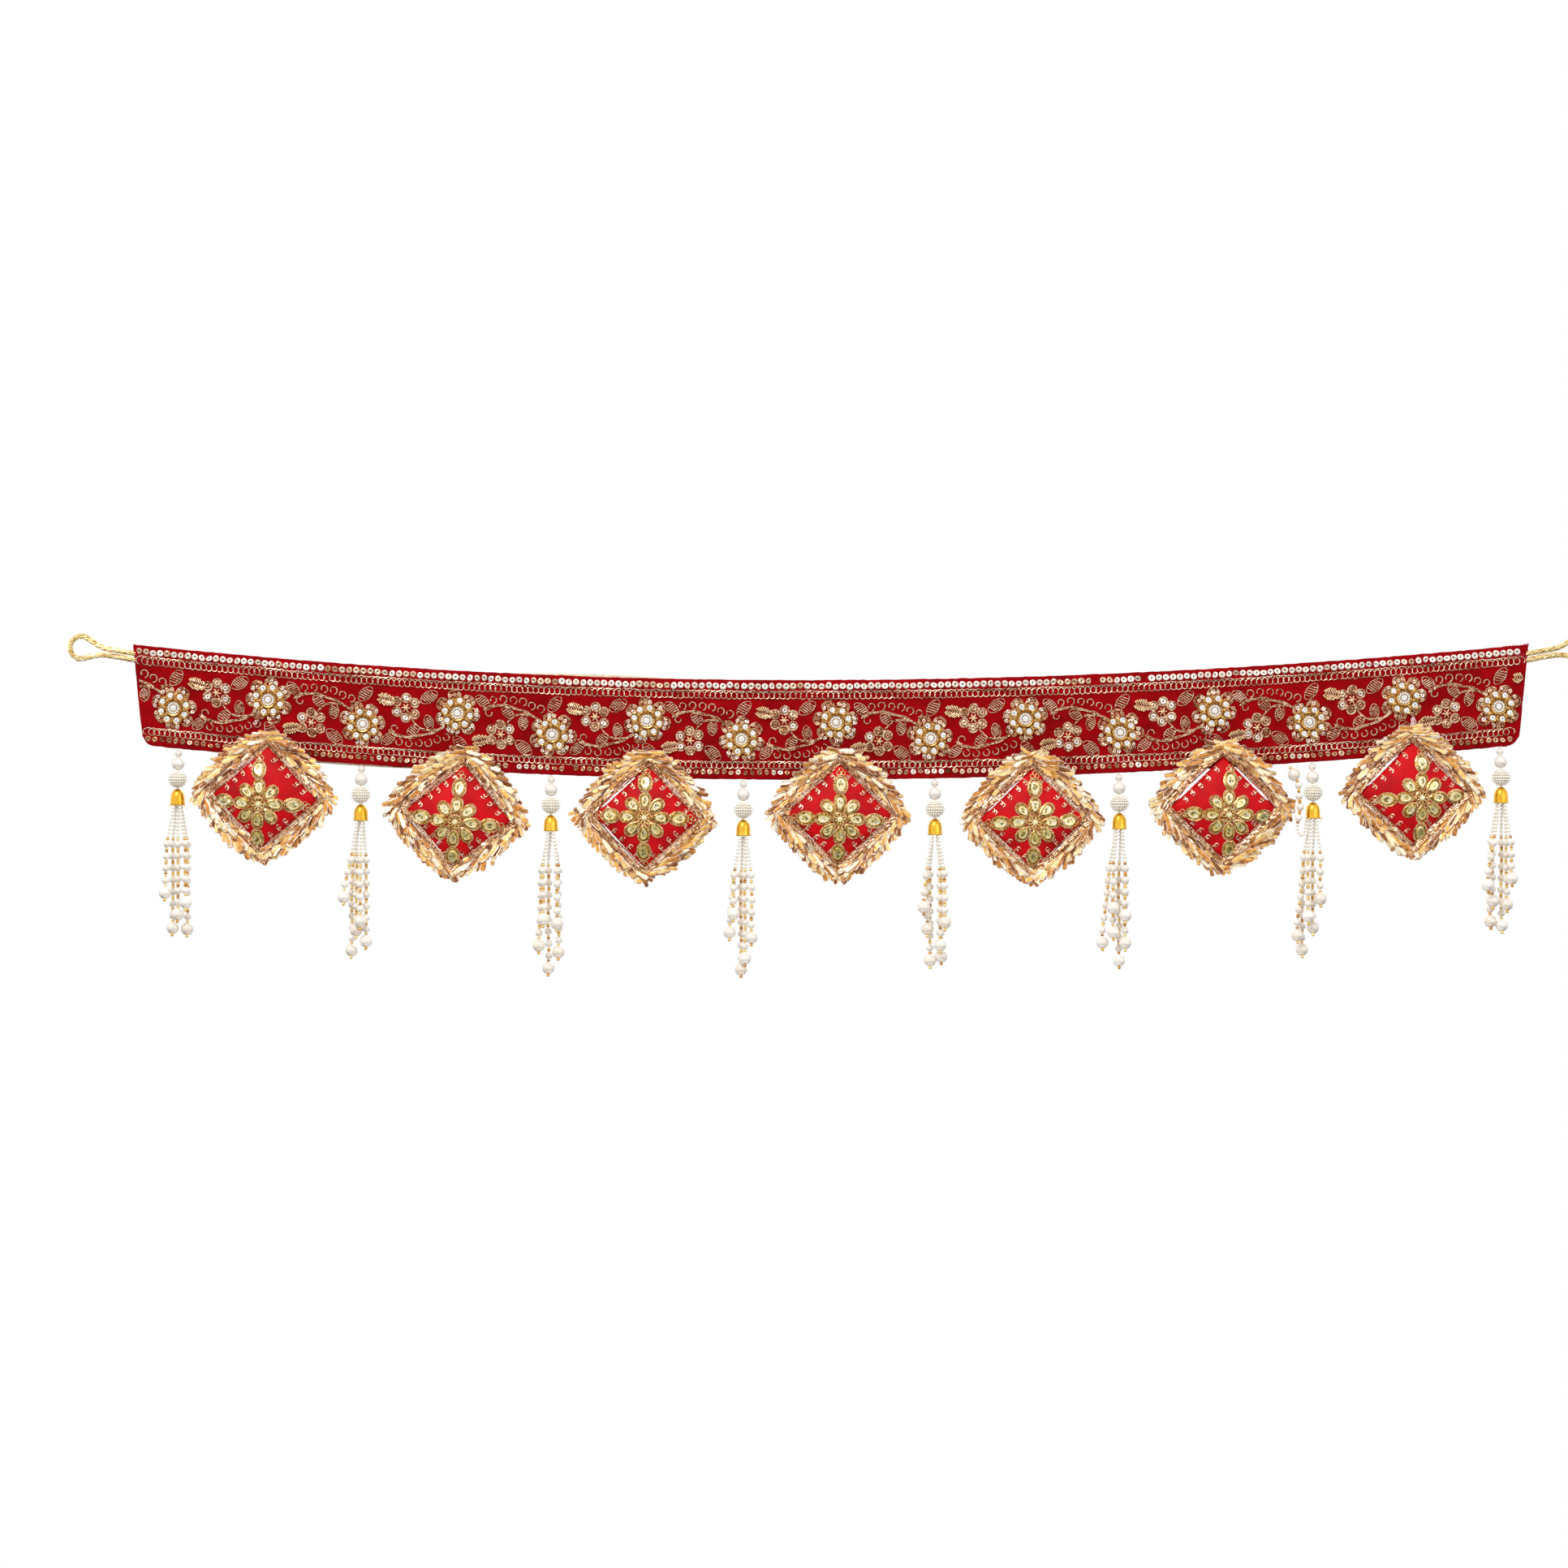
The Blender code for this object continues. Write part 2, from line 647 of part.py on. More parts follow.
def make_tassel(name, parent, rows, stray):
    """A bell cap with its strands fused into it, and one caught up if it has a stray."""
    down = Vector((0, 0, -1))
    height = CAP_PROFILE[-1][1] * MM
    cap = [
        (Vector((0, 0, height - below * MM)), radius * MM, down) for radius, below in CAP_PROFILE
    ]
    bodies = [loft(cap, CAP_SIDES)]
    for row, strands in enumerate(rows):
        for order, (sideways, drop) in enumerate(strands):
            root_x = (order - (len(strands) - 1) / 2) * ROOT_SPACING
            route = strand_route(row, root_x, sideways * MM, drop * MM)
            pearls = round((drop * MM - SEED_LENGTH - LAST_PEARL_RADIUS) / PEARL_PITCH)
            bodies.append(pearl_string(route, pearls))
    if stray:
        route = smooth_points([Vector(point) * MM for point in STRAY_ROUTE], STRAY_POINTS)
        bodies.append(pearl_string(route, STRAY_PEARLS, STRAY_SEED_STEPS))
    tassel = bpy.data.objects.new(name, fuse("tassel", bodies, "pearl"))
    place(tassel, parent, (0, CAP_DEPTH, -CAP_TOP - height))


def main():
    for obj in list(bpy.data.objects):
        bpy.data.objects.remove(obj)
    make_band()
    make_tie("tie_left", -1)
    make_tie("tie_right", 1)
    make_flowers()
    make_pads()
    for number, (x, rows) in enumerate(TASSELS, start=1):
        edge = top_edge(x * MM) - BAND_HEIGHT
        hang = new_empty(f"tassel_hang_{number}", (x * MM, 0, edge))
        make_beads(f"beads_{number}", hang)
        make_tassel(f"tassel_{number}", hang, rows, number == STRAY_TASSEL)


main()
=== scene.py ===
import math
import random

import bmesh
import bpy
import numpy as np
from mathutils import Matrix, Vector, noise
from mathutils.bvhtree import BVHTree


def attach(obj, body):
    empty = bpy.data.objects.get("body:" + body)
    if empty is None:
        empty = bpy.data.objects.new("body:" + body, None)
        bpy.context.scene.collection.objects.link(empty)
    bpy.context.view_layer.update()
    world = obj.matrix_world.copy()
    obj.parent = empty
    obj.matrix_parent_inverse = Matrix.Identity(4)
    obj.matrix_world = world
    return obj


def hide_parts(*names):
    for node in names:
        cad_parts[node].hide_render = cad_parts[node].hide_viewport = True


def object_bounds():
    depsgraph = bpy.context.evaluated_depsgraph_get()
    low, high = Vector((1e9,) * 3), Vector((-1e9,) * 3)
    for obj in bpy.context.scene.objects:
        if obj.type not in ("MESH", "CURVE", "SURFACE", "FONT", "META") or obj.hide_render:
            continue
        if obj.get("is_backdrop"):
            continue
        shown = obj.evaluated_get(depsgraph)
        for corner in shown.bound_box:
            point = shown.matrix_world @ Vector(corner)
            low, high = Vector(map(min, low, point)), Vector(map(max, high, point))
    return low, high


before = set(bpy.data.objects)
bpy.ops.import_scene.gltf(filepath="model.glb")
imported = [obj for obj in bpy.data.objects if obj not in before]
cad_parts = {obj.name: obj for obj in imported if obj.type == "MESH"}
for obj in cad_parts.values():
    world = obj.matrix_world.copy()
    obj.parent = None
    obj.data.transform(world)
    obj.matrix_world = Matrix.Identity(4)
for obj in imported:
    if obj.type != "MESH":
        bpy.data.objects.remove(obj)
cad_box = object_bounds()

# Lengths are in mm until a piece is finished. The front of the hanging faces -Y.
MM = 0.001

# The band
BAND_HALF = 469.0
BAND_HEIGHT = 67.0
BAND_THICK = 2.0
BAND_BACK = -1.3
BAND_FRONT = -3.3
SAG = 24.0
LOW_POINT = -21.0
END_SLANT = 0.10
CORNER = 7.5
LINING_THICK = 1.0
LINING_INSET = 1.0
LINING_ABOVE = (2.6, -160, 100)
LINING_BELOW = (2.3, -330, 130)

# The ties
CORD_RADIUS = 1.9
CORD_DEPTH = -2.0
CORD_STRANDS = 6
CORD_LAY = 26.0
LOOP_BELOW_EDGE = 8.2
LOOP_START = 1.1
TUCKED_ABOVE = 1.6
TUCKED_BELOW = 2.4
LOOP_RISE = math.radians(10)
LOOP_ROUTE = (
    (0, 2.1), (11.5, 2.1), (21, 2.6), (30.6, 6.2), (34.5, 7.6), (38.5, 6.7), (41.5, 3.9), (42.6, 0),
)

# The jewelled flowers
FLOWER_FIRST = -441.2
FLOWER_PITCH = 63.54
FLOWER_COUNT = 15
FLOWER_LOW = 40.0
FLOWER_HIGH = 28.6

# The pads: middle, lean, the stones' middle and the frill's reach left, right, up and down
PADS = (
    (-379.3, -78.7, 3.5, -3.4, -4.7, 50.7, 47.0, 47.1, 44.1),
    (-249.5, -90.9, 6.8, -1.4, -4.6, 51.9, 45.0, 50.5, 41.8),
    (-123.6, -92.1, 2.2, -1.2, -0.2, 50.3, 45.5, 48.4, 44.4),
    (5.7, -90.3, 1.0, 0.3, -3.1, 48.0, 45.4, 47.3, 46.2),
    (135.5, -93.5, 0.0, 0.9, -2.0, 47.9, 45.8, 50.9, 43.0),
    (263.0, -85.8, 0.6, 3.1, -4.7, 49.8, 46.3, 48.6, 45.3),
    (390.3, -75.9, -0.8, 4.8, -3.3, 48.2, 45.7, 48.6, 43.1),
)
PAD_ACROSS = 37.0
PAD_UP = 36.0
PAD_CROWN = 9.0
PAD_BACK_CROWN = 4.5
PAD_SEAM = 0.8
PAD_REST = 0.45
PAD_DRAW_IN = 0.035
PAD_CAP = 1.6
FRILL_ROUND_ABOVE = 1.62
FRILL_ROUND_BELOW = 1.5
RIBBON_STEP = 2.45

# The tassels: how far along, and each strand's sideways place and drop, front row first
TASSELS = (
    (-438.2, (((-7.1, 58.4), (6.6, 65.0)), ((0.5, 73.0),), ((-3.8, 82.2), (6.0, 83.0)))),
    (-315.3, (((-10.4, 50.8), (0.5, 67.2)), ((-2.7, 73.2), (3.8, 80.5)), ((-6.6, 86.8),))),
    (-187.8, (((-4.6, 58.7), (4.6, 61.7)), ((-7.9, 76.4), (5.2, 80.8)), ((-1.9, 91.7),))),
    (-58.7, (((-6.6, 51.9), (5.5, 67.7)), ((-9.3, 64.4), (1.1, 81.9)), ((-1.6, 89.5),))),
    (69.9, (((-7.9, 48.0), (6.3, 58.4)), ((-5.2, 62.8), (3.3, 73.7)), ((-3.2, 84.1), (4.3, 81.5)))),
    (193.6, (((-4.9, 52.4), (3.3, 57.3)), ((-4.4, 68.8), (3.6, 76.0)), ((-11.2, 75.9), (0.0, 87.9)))),
    (323.5, (((-4.4, 65.2), (3.8, 53.5)), ((-10.9, 78.1), (-0.5, 72.9)), ((-7.1, 87.9),))),
    (449.6, (((-10.4, 54.6), (5.5, 50.2)), ((-6.0, 65.5), (3.3, 67.7)), ((-6.6, 79.2), (1.0, 81.9)))),
)
BEAD_STACK = ((2.45, 2.45, 3.2, -3.0), (4.4, 4.4, 10.0, -5.0), (6.4, 5.7, 20.4, -7.0))
CAP_DEPTH = -7.0
CAP_TOP = 27.3
CAP_HEIGHT = 10.6
ROW_DEPTHS = (-14.0, -8.4, -2.8)
ROOT_SPACING = 2.9
FAN_LIMIT = 6.0
SEED_RADIUS = 1.2
SEED_LENGTH = 24.5
PEARL_RADIUS = 2.5
PEARL_PITCH = 7.7
LAST_PEARL_RADIUS = 4.3
CAP_NECK = 0.8
STRAY_TASSEL = 7
STRAY_PEARLS = 4
STRAY_ROUTE = (
    (-4.1, -0.8, 2), (-4.4, -1, 0), (-5.6, -3.2, -6), (-7.2, -5.2, -10.5), (-9.8, -6.4, -10.6),
    (-11.4, -6.2, -6.5), (-10.6, -5.8, 0), (-9.2, -5, 7.3), (-9.9, -3.4, 15.3), (-10, -1.6, 22.9),
    (-12.8, -0.2, 29.5),
)

# Filling a pad: how slack it starts, the size of its mesh in mm, the pressure and the steps
PAD_SLACK = 0.975
PAD_MESH = 2.5
PAD_PRESSURE = 4
PAD_STEPS = 20
PAD_DEPTH_REGAINED = 1.04
PAD_KEEP_INSIDE = 0.93

# Rows along the edges: below the top edge, step, size and lean of the sequins
TOP_SEQUINS = (4.3, 4.72, 2.2, 0.2)
LOW_SEQUINS = (BAND_HEIGHT - 4.7, 4.72, 1.85, 0.28)
# Looped threads: below the top edge, height, step and drift
TOP_CHAIN = (10.2, 5.6, 3.6, 0.12)
LOW_CHAIN = (BAND_HEIGHT - 9.6, 5.0, 3.5, 0.15)
CHAIN_INSET = 2.0
CHAIN_WIDTH = 2.9
CHAIN_PARTS = 10

# Thread radii
CHAIN_THREAD = 0.32
OUTLINE_THREAD = 0.3
STEM_THREAD = 0.36
BAR_THREAD = 0.34
PETAL_THREAD = 0.33
BULLION_WIRE = 0.5
RIM_THREAD = 0.36
RING_THREAD = 0.42
HOOK_THREAD = 0.4
HEADING_THREAD = 0.4
LEAF_EDGE_THREAD = 0.29
HAIR = 0.14

# The stones on a jewelled flower
PLATE_STONES = 8
PLATE_STONES_AT = 8.6
PLATE_STONE = 2.4
SMALL_STONES = 12
SMALL_STONES_AT = 3.35
LOBES = 7
LOBE_REACH = 15.4
LOBE_FOOT = 9.5

# Rows of ribbon leaves: place across the frill, splay in degrees, depth and length
LEAF_ROWS = ((0.2, -4, -1.4, 11.0), (0.4, 12, -2.9, 12.0), (0.56, 30, -1.8, 11.0))
LEAF_WIDTHS = (2.0, 3.0)
LAST_LEAVES = 0.72
# Heading cords: away from the pad's side, and depth
HEADING_CORDS = ((-0.9, -2.1), (0.2, -2.9), (1.3, -3.5), (2.5, -4.1))

# The stones on a pad: length, width, and how much narrower the inner end is
PETAL_STONE = (9.4, 7.4, 0.42)
LEAF_STONE = (10.4, 6.8, -0.12)
STONE_HEIGHT = 1.7
PETAL_STONES = 8
PETAL_STONES_AT = 10.8
LEAF_STONES = 4
LEAF_STONES_AT = 23.0
RIM_THREADS = ((1.12, 0.45), (1.3, 0.15))
CENTRE_RINGS = ((3.9, 0.5), (4.7, 0.3))
CENTRE_BEADS = 9
TREFOIL = ((30.6, 1.5), (30.6, -1.5), (32.8, 0.0))
TREFOIL_LOOP = 1.3
HOOKS_A_SIDE = 5

STILL = Matrix.Identity(4)


# Shapes and where they go

def top_edge(x):
    """Height of the band's top edge at x."""
    reach = BAND_HALF + LOW_POINT if x < LOW_POINT else BAND_HALF - LOW_POINT
    return SAG * ((x - LOW_POINT) / reach) ** 2


def on_band(x, below, out=0.0):
    """A point on the band's front, that far below its top edge and that far in front."""
    return Vector((x, BAND_FRONT - out, top_edge(x) - below))


def bump(x, centre, half):
    """A smooth swell round a centre, 1 there and 0 at half away."""
    if abs(x - centre) >= half:
        return 0.0
    return 0.5 + 0.5 * math.cos(math.pi * (x - centre) / half)


def smooth_points(key_points, count):
    """Evenly stepped points on a smooth curve through the key points."""
    keys = [Vector(point) for point in key_points]
    points = []
    spans = len(keys) - 1
    for step in range(count):
        place_on = spans * step / (count - 1)
        span = min(int(place_on), spans - 1)
        part = place_on - span
        before = keys[max(span - 1, 0)]
        here, there = keys[span], keys[span + 1]
        after = keys[min(span + 2, spans)]
        bend = (2 * before - 5 * here + 4 * there - after) * part**2
        turn = (3 * here - before - 3 * there + after) * part**3
        points.append(0.5 * (2 * here + (there - before) * part + bend + turn))
    return points


def even_points(route, step):
    """Points at even distances along a route, about that step apart, and its length."""
    lengths = [(b - a).length for a, b in zip(route, route[1:])]
    total = sum(lengths)
    count = max(2, round(total / step) + 1)
    return [point_along(route, total * n / (count - 1))[0] for n in range(count)], total


def point_along(route, distance):
    """The point at that distance along a route, and the direction there."""
    for start, end in zip(route, route[1:]):
        step = end - start
        if distance <= step.length or end is route[-1]:
            break
        distance -= step.length
    direction = step.normalized()
    return start + direction * distance, direction


def facing(point, out, along):
    """Places a shape at a point, its own Z along out and its own X nearest to along."""
    out = Vector(out).normalized()
    across = out.cross(Vector(along)).normalized()
    turn = Matrix((across.cross(out), across, out)).transposed().to_4x4()
    return Matrix.Translation(point) @ turn


def sized(x, y=None, z=None):
    """Scales by x, y and z, or by x all round."""
    return Matrix.Diagonal((x, x if y is None else y, x if z is None else z, 1))


def wound(route, radius, lay, strands, phase=0.0):
    """Routes of strands wound round a route, one turn to each lay."""
    routes = [[] for _ in range(strands)]
    gone = 0.0
    for number, point in enumerate(route):
        after = route[min(number + 1, len(route) - 1)]
        before = route[max(number - 1, 0)]
        ahead = (after - before).normalized()
        across = ahead.cross(Vector((0, 1, 0.01))).normalized()
        up = across.cross(ahead)
        gone += (point - before).length
        for strand in range(strands):
            angle = math.tau * (gone / lay + strand / strands) + phase
            routes[strand].append(point + radius * (across * math.cos(angle) + up * math.sin(angle)))
    return routes


def shape_of(bm):
    """The mesh of a bmesh, with its faces turned outwards."""
    bmesh.ops.remove_doubles(bm, verts=bm.verts, dist=0.001)
    bmesh.ops.recalc_face_normals(bm, faces=bm.faces)
    mesh = bpy.data.meshes.new("shape")
    bm.to_mesh(mesh)
    bm.free()
    return mesh


def turned(profile, steps):
    """A round shape turned about its own Z from (radius, height) points."""
    bm = bmesh.new()
    verts = [bm.verts.new((radius, 0, height)) for radius, height in profile]
    edges = [bm.edges.new(pair) for pair in zip(verts, verts[1:])]
    bmesh.ops.spin(
        bm,
        geom=verts + edges,
        cent=(0, 0, 0),
        axis=(0, 0, 1),
        angle=math.tau,
        steps=steps,
        use_merge=True,
    )
    return shape_of(bm)


def ball(around, rings):
    """A ball of radius 1."""
    bm = bmesh.new()
    bmesh.ops.create_uvsphere(bm, u_segments=around, v_segments=rings, radius=1)
    return shape_of(bm)


def thread(routes, radius, sides=6, closed=False):
    """Thread laid along each route."""
    curve = bpy.data.curves.new("thread", "CURVE")
    curve.dimensions = "3D"
    curve.bevel_depth = radius
    curve.bevel_resolution = sides // 2 - 2
    curve.use_fill_caps = True
    for route in routes:
        spline = curve.splines.new("POLY")
        spline.points.add(len(route) - 1)
        for point, position in zip(spline.points, route):
            point.co = (*position, 1.0)
        spline.use_cyclic_u = closed
    holder = bpy.data.objects.new("thread", curve)
    mesh = bpy.data.meshes.new_from_object(holder)
    bpy.data.objects.remove(holder)
    return mesh


def faceted(sides, table, height):
    """A cut stone of radius 1: a sloping crown, a table and a star in its middle."""
    heart = 0.6 * table
    profile = ((0, 0), (1, 0), (table, height), (heart, 0.96 * height), (0, 0.9 * height))
    return turned(profile, sides)


def read(items, name, width=1):
    """One property of a mesh's vertices, corners or faces as an array."""
    values = np.empty(len(items) * width, np.float32 if name == "co" else np.int32)
    items.foreach_get(name, values)
    return values.reshape(-1, width) if width > 1 else values


class Work:
    """A piece in the making: shapes laid into one mesh, each with its finish and tone."""

    def __init__(self, name):
        self.name = name
        self.finishes = []
        self.points = []
        self.corners = []
        self.sizes = []
        self.marks = []
        self.tones = []
        self.count = 0

    def lay(self, mesh, finish, places=(STILL,), tones=0.5):
        """Lays a shape at each place. Tones are one for all, one a place or one a face."""
        if finish not in self.finishes:
            self.finishes.append(finish)
        points = read(mesh.vertices, "co", 3)
        corners = read(mesh.loops, "vertex_index")
        sizes = read(mesh.polygons, "loop_total")
        moves = np.array([np.array(place) for place in places])
        copies = len(moves)
        moved = np.einsum("kij,nj->kni", moves[:, :3, :3], points) + moves[:, None, :3, 3]
        firsts = self.count + len(points) * np.arange(copies)
        tones = np.asarray(tones, float)
        if tones.ndim == 1:
            tones = tones[:, None]
        self.points.append(moved.reshape(-1, 3))
        self.corners.append((firsts[:, None] + corners).ravel())
        self.sizes.append(np.tile(sizes, copies))
        self.marks.append(np.full(copies * len(sizes), self.finishes.index(finish)))
        self.tones.append(np.broadcast_to(tones, (copies, len(sizes))).ravel())
        self.count += copies * len(points)

    def done(self, stands_for=(), sharp=40):
        """The finished piece, riding on the hanging."""
        sizes = np.concatenate(self.sizes)
        corners = np.concatenate(self.corners)
        mesh = bpy.data.meshes.new(self.name)
        mesh.vertices.add(self.count)
        mesh.vertices.foreach_set("co", (np.concatenate(self.points) * MM).ravel())
        mesh.loops.add(len(corners))
        mesh.loops.foreach_set("vertex_index", corners)
        mesh.polygons.add(len(sizes))
        mesh.polygons.foreach_set("loop_start", np.cumsum(sizes) - sizes)
        mesh.polygons.foreach_set("material_index", np.concatenate(self.marks))
        mesh.update(calc_edges=True)
        tone = mesh.attributes.new("tone", "FLOAT", "FACE")
        tone.data.foreach_set("value", np.concatenate(self.tones))
        for finish in self.finishes:
            mesh.materials.append(finish)
        mesh.shade_smooth()
        mesh.set_sharp_from_angle(angle=math.radians(sharp))
        return settled(bpy.data.objects.new(self.name, mesh), stands_for)


def settled(piece, stands_for=()):
    """Puts a piece in the scene and on the hanging."""
    bpy.context.scene.collection.objects.link(piece)
    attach(piece, "root")
    if stands_for:
        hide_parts(*stands_for)
    return piece


# Finishes

class Reading:
    """A number that varies over a surface. Sums written with it add Math nodes."""

    def __init__(self, finish, socket):
        self.finish = finish
        self.socket = socket

    def sum(self, operation, first, second):
        return self.finish.node("ShaderNodeMath", {"operation": operation}, {0: first, 1: second})

    def __add__(self, other):
        return self.sum("ADD", self, other)

    __radd__ = __add__

    def __mul__(self, other):
        return self.sum("MULTIPLY", self, other)

    __rmul__ = __mul__

    def __sub__(self, other):
        return self.sum("SUBTRACT", self, other)

    def __rsub__(self, other):
        return self.sum("SUBTRACT", other, self)


class Finish:
    """A material in the making, from the shader's fixed values."""

    def __init__(self, name, fixed):
        self.material = bpy.data.materials.new(name)
        self.material.use_nodes = True
        self.tree = self.material.node_tree
        self.shader = self.tree.nodes["Principled BSDF"]
        self.set(self.shader, fixed)

    def set(self, node, sockets):
        for key, value in sockets.items():
            if isinstance(value, Reading):
                self.tree.links.new(value.socket, node.inputs[key])
            else:
                node.inputs[key].default_value = value

    def node(self, kind, settings=None, sockets=None, gives=0):
        """Any node: its settings, then its sockets, and the output that is read."""
        node = self.tree.nodes.new(kind)
        for key, value in (settings or {}).items():
            if key == "stops":
                ramp = node.color_ramp.elements
                while len(ramp) < len(value):
                    ramp.new(0.5)
                for stop, (position, colour) in zip(ramp, value):
                    stop.position = position
                    stop.color = (*colour, 1)
            else:
                setattr(node, key, value)
        self.set(node, sockets or {})
        return Reading(self, node.outputs[gives])

    def place(self):
        return self.node("ShaderNodeTexCoord", gives="Object")

    def stretched(self, x, y, z):
        """Object coordinates with the pattern packed closer along each axis."""
        sockets = {"Vector": self.place(), "Scale": (x, y, z)}
        return self.node("ShaderNodeMapping", {"vector_type": "POINT"}, sockets)

    def grain(self, size, detail=2.0, where=None):
        """Noise whose grains are about that size, in mm."""
        sockets = {"Vector": where or self.place(), "Scale": 1000 / size, "Detail": detail}
        return self.node("ShaderNodeTexNoise", {}, sockets, "Fac")

    def tone(self):
        return self.node("ShaderNodeAttribute", {"attribute_name": "tone"}, {}, "Fac")

    def ramp(self, value, *stops):
        return self.node("ShaderNodeValToRGB", {"stops": stops}, {"Fac": value}, "Color")

    def raised(self, height, distance, strength=1.0):
        """A bump of that height, in mm."""
        sockets = {"Height": height, "Distance": distance * MM, "Strength": strength}
        return self.node("ShaderNodeBump", {}, sockets, "Normal")

    def made(self, **surface):
        """The material, with what varies over it: color, roughness, metallic, normal."""
        names = {"color": "Base Color", "roughness": "Roughness", "metallic": "Metallic"}
        self.set(self.shader, {names.get(k, k.capitalize()): v for k, v in surface.items()})
        return self.material


def deep_red_velvet():
    finish = Finish("deep_red_velvet", {"Sheen Weight": 0.12, "Sheen Roughness": 0.4})
    finish.set(finish.shader, {"Sheen Tint": (1.0, 0.03, 0.03, 1), "Specular IOR Level": 0.08})
    nap = finish.grain(0.45, 3)
    shading = finish.grain(9, 3)
    brushed = finish.grain(30, 2, finish.stretched(1, 1, 2.5))
    depth = nap * 0.35 + shading * 0.4 + brushed * 0.35
    color = finish.ramp(
        depth, (0.3, (0.14, 0.0, 0.001)), (0.55, (0.31, 0.0, 0.002)), (0.8, (0.48, 0.0, 0.003))
    )
    return finish.made(
        color=color, roughness=0.7 + nap * 0.25, normal=finish.raised(nap + shading * 0.8, 0.35, 0.7)
    )


def bright_red_satin():
    finish = Finish("bright_red_satin", {"Sheen Weight": 0.05, "Specular IOR Level": 0.16})
    finish.set(finish.shader, {"Sheen Tint": (1.0, 0.05, 0.04, 1)})
    weave = finish.grain(0.35, 2, finish.stretched(1, 1, 3))
    clouds = finish.grain(14, 2)
    color = finish.ramp(
        clouds * 0.75 + weave * 0.25,
        (0.3, (0.36, 0.0, 0.002)),
        (0.55, (0.62, 0.0, 0.004)),
        (0.8, (0.82, 0.002, 0.007)),
    )
    return finish.made(
        color=color, roughness=0.42 + weave * 0.2, normal=finish.raised(weave, 0.12, 0.6)
    )


def cream_lining():
    finish = Finish("cream_lining", {"Sheen Weight": 0.1})
    across = finish.grain(0.7, 1, finish.stretched(4, 1, 0.5))
    down = finish.grain(0.7, 1, finish.stretched(0.5, 1, 4))
    weave = across * 0.5 + down * 0.5
    fibres = finish.grain(2.6, 3, finish.stretched(1, 1, 4))
    color = finish.ramp(
        weave * 0.6 + fibres * 0.4,
        (0.35, (0.56, 0.40, 0.20)),
        (0.5, (0.80, 0.70, 0.50)),
        (0.68, (0.90, 0.85, 0.72)),
    )
    return finish.made(
        color=color, roughness=0.5 + weave * 0.3, normal=finish.raised(weave, 0.2, 0.7)
    )


def metal_thread(name, dark, middle, light, roughness=0.34, twist=0.8):
    """Metal thread: dark with painted shade between its twists and bright with painted highlights on
    them.
    """
    finish = Finish(name, {"Specular IOR Level": 0.6})
    twisted = finish.grain(twist, 1)
    worn = finish.grain(5, 2)
    tone = finish.tone()
    share = twisted * 0.75 + worn * 0.2 + tone * 0.3 - 0.12
    # The ramp runs from painted shade between the twists to painted highlights on them.
    color = finish.ramp(share, (0.41, dark), (0.51, middle), (0.62, light))
    return finish.made(
        color=color,
        roughness=roughness + worn * 0.2 - twisted * 0.1,
        metallic=0.55 + twisted * 0.5,
        normal=finish.raised(twisted, 0.15, 0.8),
    )


def tinsel_cord():
    finish = Finish("tinsel_cord", {"Specular IOR Level": 0.6})
    fibres = finish.grain(0.9, 2, finish.stretched(0.25, 1, 1))
    glint = finish.grain(3.5, 1)
    color = finish.ramp(
        fibres * 0.75 + glint * 0.25,
        (0.34, (0.44, 0.21, 0.04)),
        (0.46, (0.90, 0.64, 0.22)),
        (0.6, (1.0, 0.92, 0.62)),
    )
    return finish.made(
        color=color,
        roughness=0.24 + glint * 0.2,
        metallic=0.6,
        normal=finish.raised(fibres, 0.2, 0.8),
    )


def plain_metal(name, dark, light, roughness, size=4.0):
    """Gold metal with patches of tarnish."""
    finish = Finish(name, {"Specular IOR Level": 0.6})
    worn = finish.grain(size, 3)
    fine = finish.grain(0.6, 2)
    color = finish.ramp(worn * 0.7 + fine * 0.3, (0.35, dark), (0.6, light))
    return finish.made(
        color=color,
        roughness=roughness + worn * 0.12,
        metallic=1.0,
        normal=finish.raised(fine, 0.03, 0.5),
    )


def champagne_sequin():
    finish = Finish("champagne_sequin", {"Coat Weight": 0.2})
    tone = finish.tone()
    spots = finish.grain(1.4, 1)
    color = finish.ramp(
        tone * 0.9 + spots * 0.2 - 0.1,
        (0.05, (0.10, 0.035, 0.015)),
        (0.35, (0.52, 0.24, 0.11)),
        (0.62, (0.90, 0.66, 0.45)),
        (0.9, (1.0, 0.93, 0.84)),
    )
    return finish.made(color=color, roughness=0.3 - tone * 0.12, metallic=1.0 - tone * 0.5)


def clear_stone():
    """Clear glass on foil, each facet painted as bright as what it throws back: a painted reflection.
    """
    finish = Finish("clear_stone", {"Coat Weight": 0.8, "Coat Roughness": 0.03})
    tone = finish.tone()
    cloud = finish.grain(0.9, 1)
    color = finish.ramp(
        tone * 0.9 + cloud * 0.15,
        (0.12, (0.05, 0.055, 0.07)),
        (0.3, (0.45, 0.46, 0.48)),
        (0.5, (0.90, 0.92, 0.94)),
        (0.75, (1.0, 1.0, 1.0)),
    )
    return finish.made(color=color, roughness=0.08 + cloud * 0.05, metallic=0.2)


def olive_stone():
    """Flat-backed glass stones on gold foil, olive in shade and pale where they catch light."""
    finish = Finish("olive_stone", {"Coat Weight": 0.9, "Coat Roughness": 0.04})
    tone = finish.tone()
    cloud = finish.grain(2.2, 2)
    color = finish.ramp(
        tone * 0.85 + cloud * 0.3 - 0.08,
        (0.08, (0.10, 0.055, 0.004)),
        (0.3, (0.46, 0.32, 0.035)),
        (0.52, (0.86, 0.68, 0.19)),
        (0.8, (1.0, 0.96, 0.70)),
    )
    return finish.made(color=color, roughness=0.1 + cloud * 0.06, metallic=0.5)


